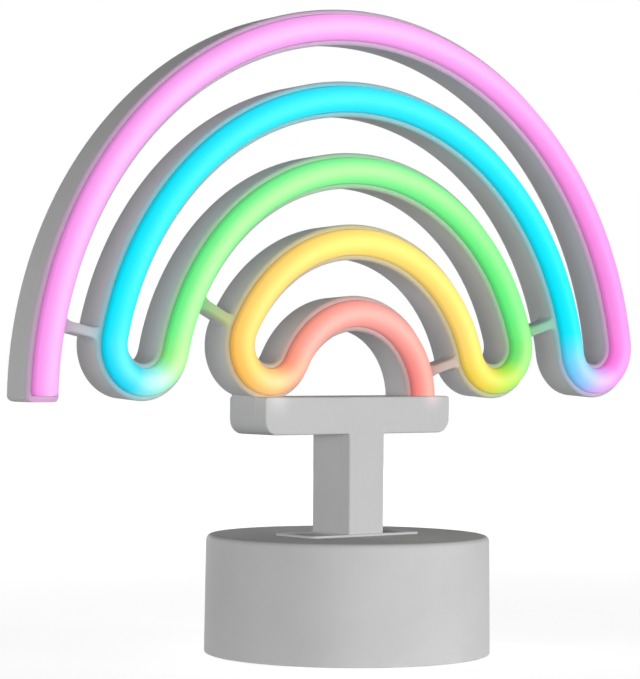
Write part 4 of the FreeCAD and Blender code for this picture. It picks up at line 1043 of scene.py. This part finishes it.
cell = {
    "sleeve": (0.035, 0.045, 0.07, 1.0), "sleeveLight": (0.06, 0.07, 0.095, 1.0),
    "lightShare": 0.35, "lightFrom": 0.3, "lightTo": 0.75,
    "band": (0.5, 0.51, 0.52, 1.0), "bands": [(16.6, 18.4), (19.4, 20.0)],
    "metal": (0.62, 0.61, 0.58, 1.0), "sleeveEnd": 23.4,
    "cloud": (260.0, 3.0), "rough": (0.26, 0.42), "bumpStrength": 0.2, "bumpHeight": 0.03,
}


# the cells lie along Y, and both halves of a sleeve are printed alike
def cellFinish():
    finish, shader, where = newFinish("cellSleeve")
    reach = mathNode("ABSOLUTE", axesOf(where)["Y"])
    cloud = noise(where, *cell["cloud"])
    light = mapRange(cloud, cell["lightFrom"], cell["lightTo"], 0.0, cell["lightShare"])
    colour = mixColours(light, cell["sleeve"], cell["sleeveLight"])
    for low, high in cell["bands"]:
        inside = times(mathNode("GREATER_THAN", reach, low * mm), mathNode("LESS_THAN", reach, high * mm))
        colour = mixColours(inside, colour, cell["band"])
    bare = mathNode("GREATER_THAN", reach, cell["sleeveEnd"] * mm)
    feed(shader, {"Base Color": mixColours(bare, colour, cell["metal"]),
                  "Metallic": bare,
                  "Roughness": drift(cloud, *cell["rough"]),
                  "Normal": bumped(cloud, cell["bumpStrength"], cell["bumpHeight"] * mm)})
    return finish


finishes["cellSleeve"] = cellFinish()
carriedNodes = {
    "basePlasticLitCopy": ["bottom_cover", "battery_door"],
    "stripBoard": ["led_strip"],
    "redLead": ["stem_lead_plus", "battery_lead_plus"],
    "blackLead": ["stem_lead_minus", "battery_lead_minus"],
    "cellSleeve": ["aa_cells"],
    "contactSteel": ["contact_plus", "contact_bridge_back", "contact_bridge_front", "contact_minus"],
    "screwSteel": ["lock_screws", "board_screws", "stem_lock_plate"],
    "greenBoard": ["circuit_board"],
    "blackPlastic": ["driver_chip", "board_resistors", "switch_body", "inlet_tongue"],
    "capacitorCan": ["board_capacitor"],
    "inletSteel": ["inlet_shell"],
}
for name, colour in led["colours"].items():
    finishes[f"led_{name}"] = ledFinish(f"led_{name}", colour)
    carriedNodes[f"led_{name}"] = [f"leds_{name}"]
for finish, nodes in carriedNodes.items():
    for node in nodes:
        dress(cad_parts[node].data, finishes[finish])
print("carried-over nodes dressed:", sum(len(nodes) for nodes in carriedNodes.values()))


# pale floor, white surroundings, soft lamps and the camera
studio = {
    "white": (1, 1, 1, 1),
    "floorSize": 6.0, "floorColour": (0.82, 0.82, 0.82, 1.0), "floorRough": 0.9,
    "floorLift": 0.82, "liftFrom": 0.12, "liftTo": 0.9,
    "skyLow": 0.7, "skyHigh": 0.0, "skyTop": 0.44,
    # name, place, width and power
    "lamps": [("keyLamp", (0.72, -1.2, 0.11), 0.5, 10.2), ("fillLamp", (-1.1, -0.7, 0.11), 0.9, 6.2),
              ("backLamp", (0.2, 1.3, 0.16), 1.0, 7.0)],
    "lampHeight": 0.2, "aim": (0.0, 0.0, 0.11),
    "underLamp": {"place": (0.0, 0.0, -0.5), "cone": 14.0, "blend": 0.3, "radius": 0.12, "power": 6.0},
    "eye": (-0.60796, -0.74084, 0.10641), "azimuth": 38.775, "elevation": 0.09, "roll": 0.45,
    "focalPixels": 2791.6, "imageSize": (640, 679), "sensor": 36, "clipStart": 0.01,
}


def seenDirectly(tree):
    rays = addNode(tree, "ShaderNodeLightPath").outputs
    direct = mathNode("MAXIMUM", rays["Is Camera Ray"], rays["Is Glossy Ray"])
    return mathNode("MAXIMUM", direct, rays["Is Transmission Ray"])


def makeFloor():
    work = bmesh.new()
    bmesh.ops.create_grid(work, x_segments=2, y_segments=2, size=studio["floorSize"])
    mesh = keptMesh(work, "floor")
    floor = linked("floor", mesh)
    finish, shader, where = newFinish("paleFloor")
    tree = finish.node_tree
    feed(shader, {"Base Color": studio["floorColour"], "Roughness": studio["floorRough"],
                  "Specular IOR Level": 0.0})
    reach = vectorNode("LENGTH", where)
    lift = mapRange(reach, studio["liftFrom"], studio["liftTo"], studio["floorLift"], 1.0)
    glow = addNode(tree, "ShaderNodeEmission",
                   {"Color": studio["white"], "Strength": times(lift, seenDirectly(tree))})
    both = addNode(tree, "ShaderNodeAddShader", {0: shader.outputs[0], 1: glow.outputs[0]})
    # clear from below and for shadow rays, so that the lamp under it lights the underside
    below = addNode(tree, "ShaderNodeNewGeometry").outputs["Backfacing"]
    shadow = addNode(tree, "ShaderNodeLightPath").outputs["Is Shadow Ray"]
    clear = addNode(tree, "ShaderNodeBsdfTransparent")
    shown = addNode(tree, "ShaderNodeMixShader",
                    {0: mathNode("MAXIMUM", below, shadow), 1: both.outputs[0], 2: clear.outputs[0]})
    feed(tree.nodes["Material Output"], {"Surface": shown.outputs[0]})
    dress(mesh, finish)


def makeSky():
    world = bpy.data.worlds.new("studioSky")
    scene.world = world
    world.use_nodes = True
    world.cycles.sampling_method = "NONE"
    tree = world.node_tree
    tree.nodes.clear()
    way = addNode(tree, "ShaderNodeTexCoord").outputs["Generated"]
    level = mapRange(axesOf(way)["Z"], 0.0, studio["skyTop"], studio["skyLow"], studio["skyHigh"])

    def sky(strength):
        return nodeOut(tree, "ShaderNodeBackground", {"Color": studio["white"], "Strength": strength})

    both = addNode(tree, "ShaderNodeMixShader", {0: seenDirectly(tree), 1: sky(level), 2: sky(1.0)})
    addNode(tree, "ShaderNodeOutputWorld", {0: both.outputs[0]})


def makeLamps():
    for name, place, width, power in studio["lamps"]:
        data = bpy.data.lights.new(name, "AREA")
        data.shape = "RECTANGLE"
        data.size = width
        data.size_y = studio["lampHeight"]
        data.energy = power
        lamp = linked(name, data)
        lamp.location = place
        lamp.rotation_euler = (Vector(studio["aim"]) - Vector(place)).to_track_quat("-Z", "Y").to_euler()


# narrow lamp that reaches only the underside of the base
def makeUnderLamp():
    under = studio["underLamp"]
    data = bpy.data.lights.new("underLamp", "SPOT")
    data.spot_size = math.radians(under["cone"])
    data.spot_blend = under["blend"]
    data.shadow_soft_size = under["radius"]
    data.energy = under["power"]
    lamp = linked("underLamp", data)
    lamp.location = under["place"]
    lamp.rotation_euler = (math.pi, 0, 0)


def makeCamera():
    data = bpy.data.cameras.new("photoCamera")
    data.sensor_width = studio["sensor"]
    data.sensor_fit = "AUTO"
    data.lens = studio["focalPixels"] * studio["sensor"] / max(studio["imageSize"])
    data.clip_start = studio["clipStart"]
    camera = linked("photoCamera", data)
    camera.location = studio["eye"]
    tilt = math.radians(90 + studio["elevation"])
    turn = Euler((tilt, 0, -math.radians(studio["azimuth"]))).to_matrix()
    camera.rotation_euler = (turn @ Matrix.Rotation(math.radians(studio["roll"]), 3, "Z")).to_euler()
    scene.camera = camera


makeFloor()
makeSky()
makeLamps()
makeUnderLamp()
makeCamera()
scene.view_settings.view_transform = "Standard"
print("studio ready")
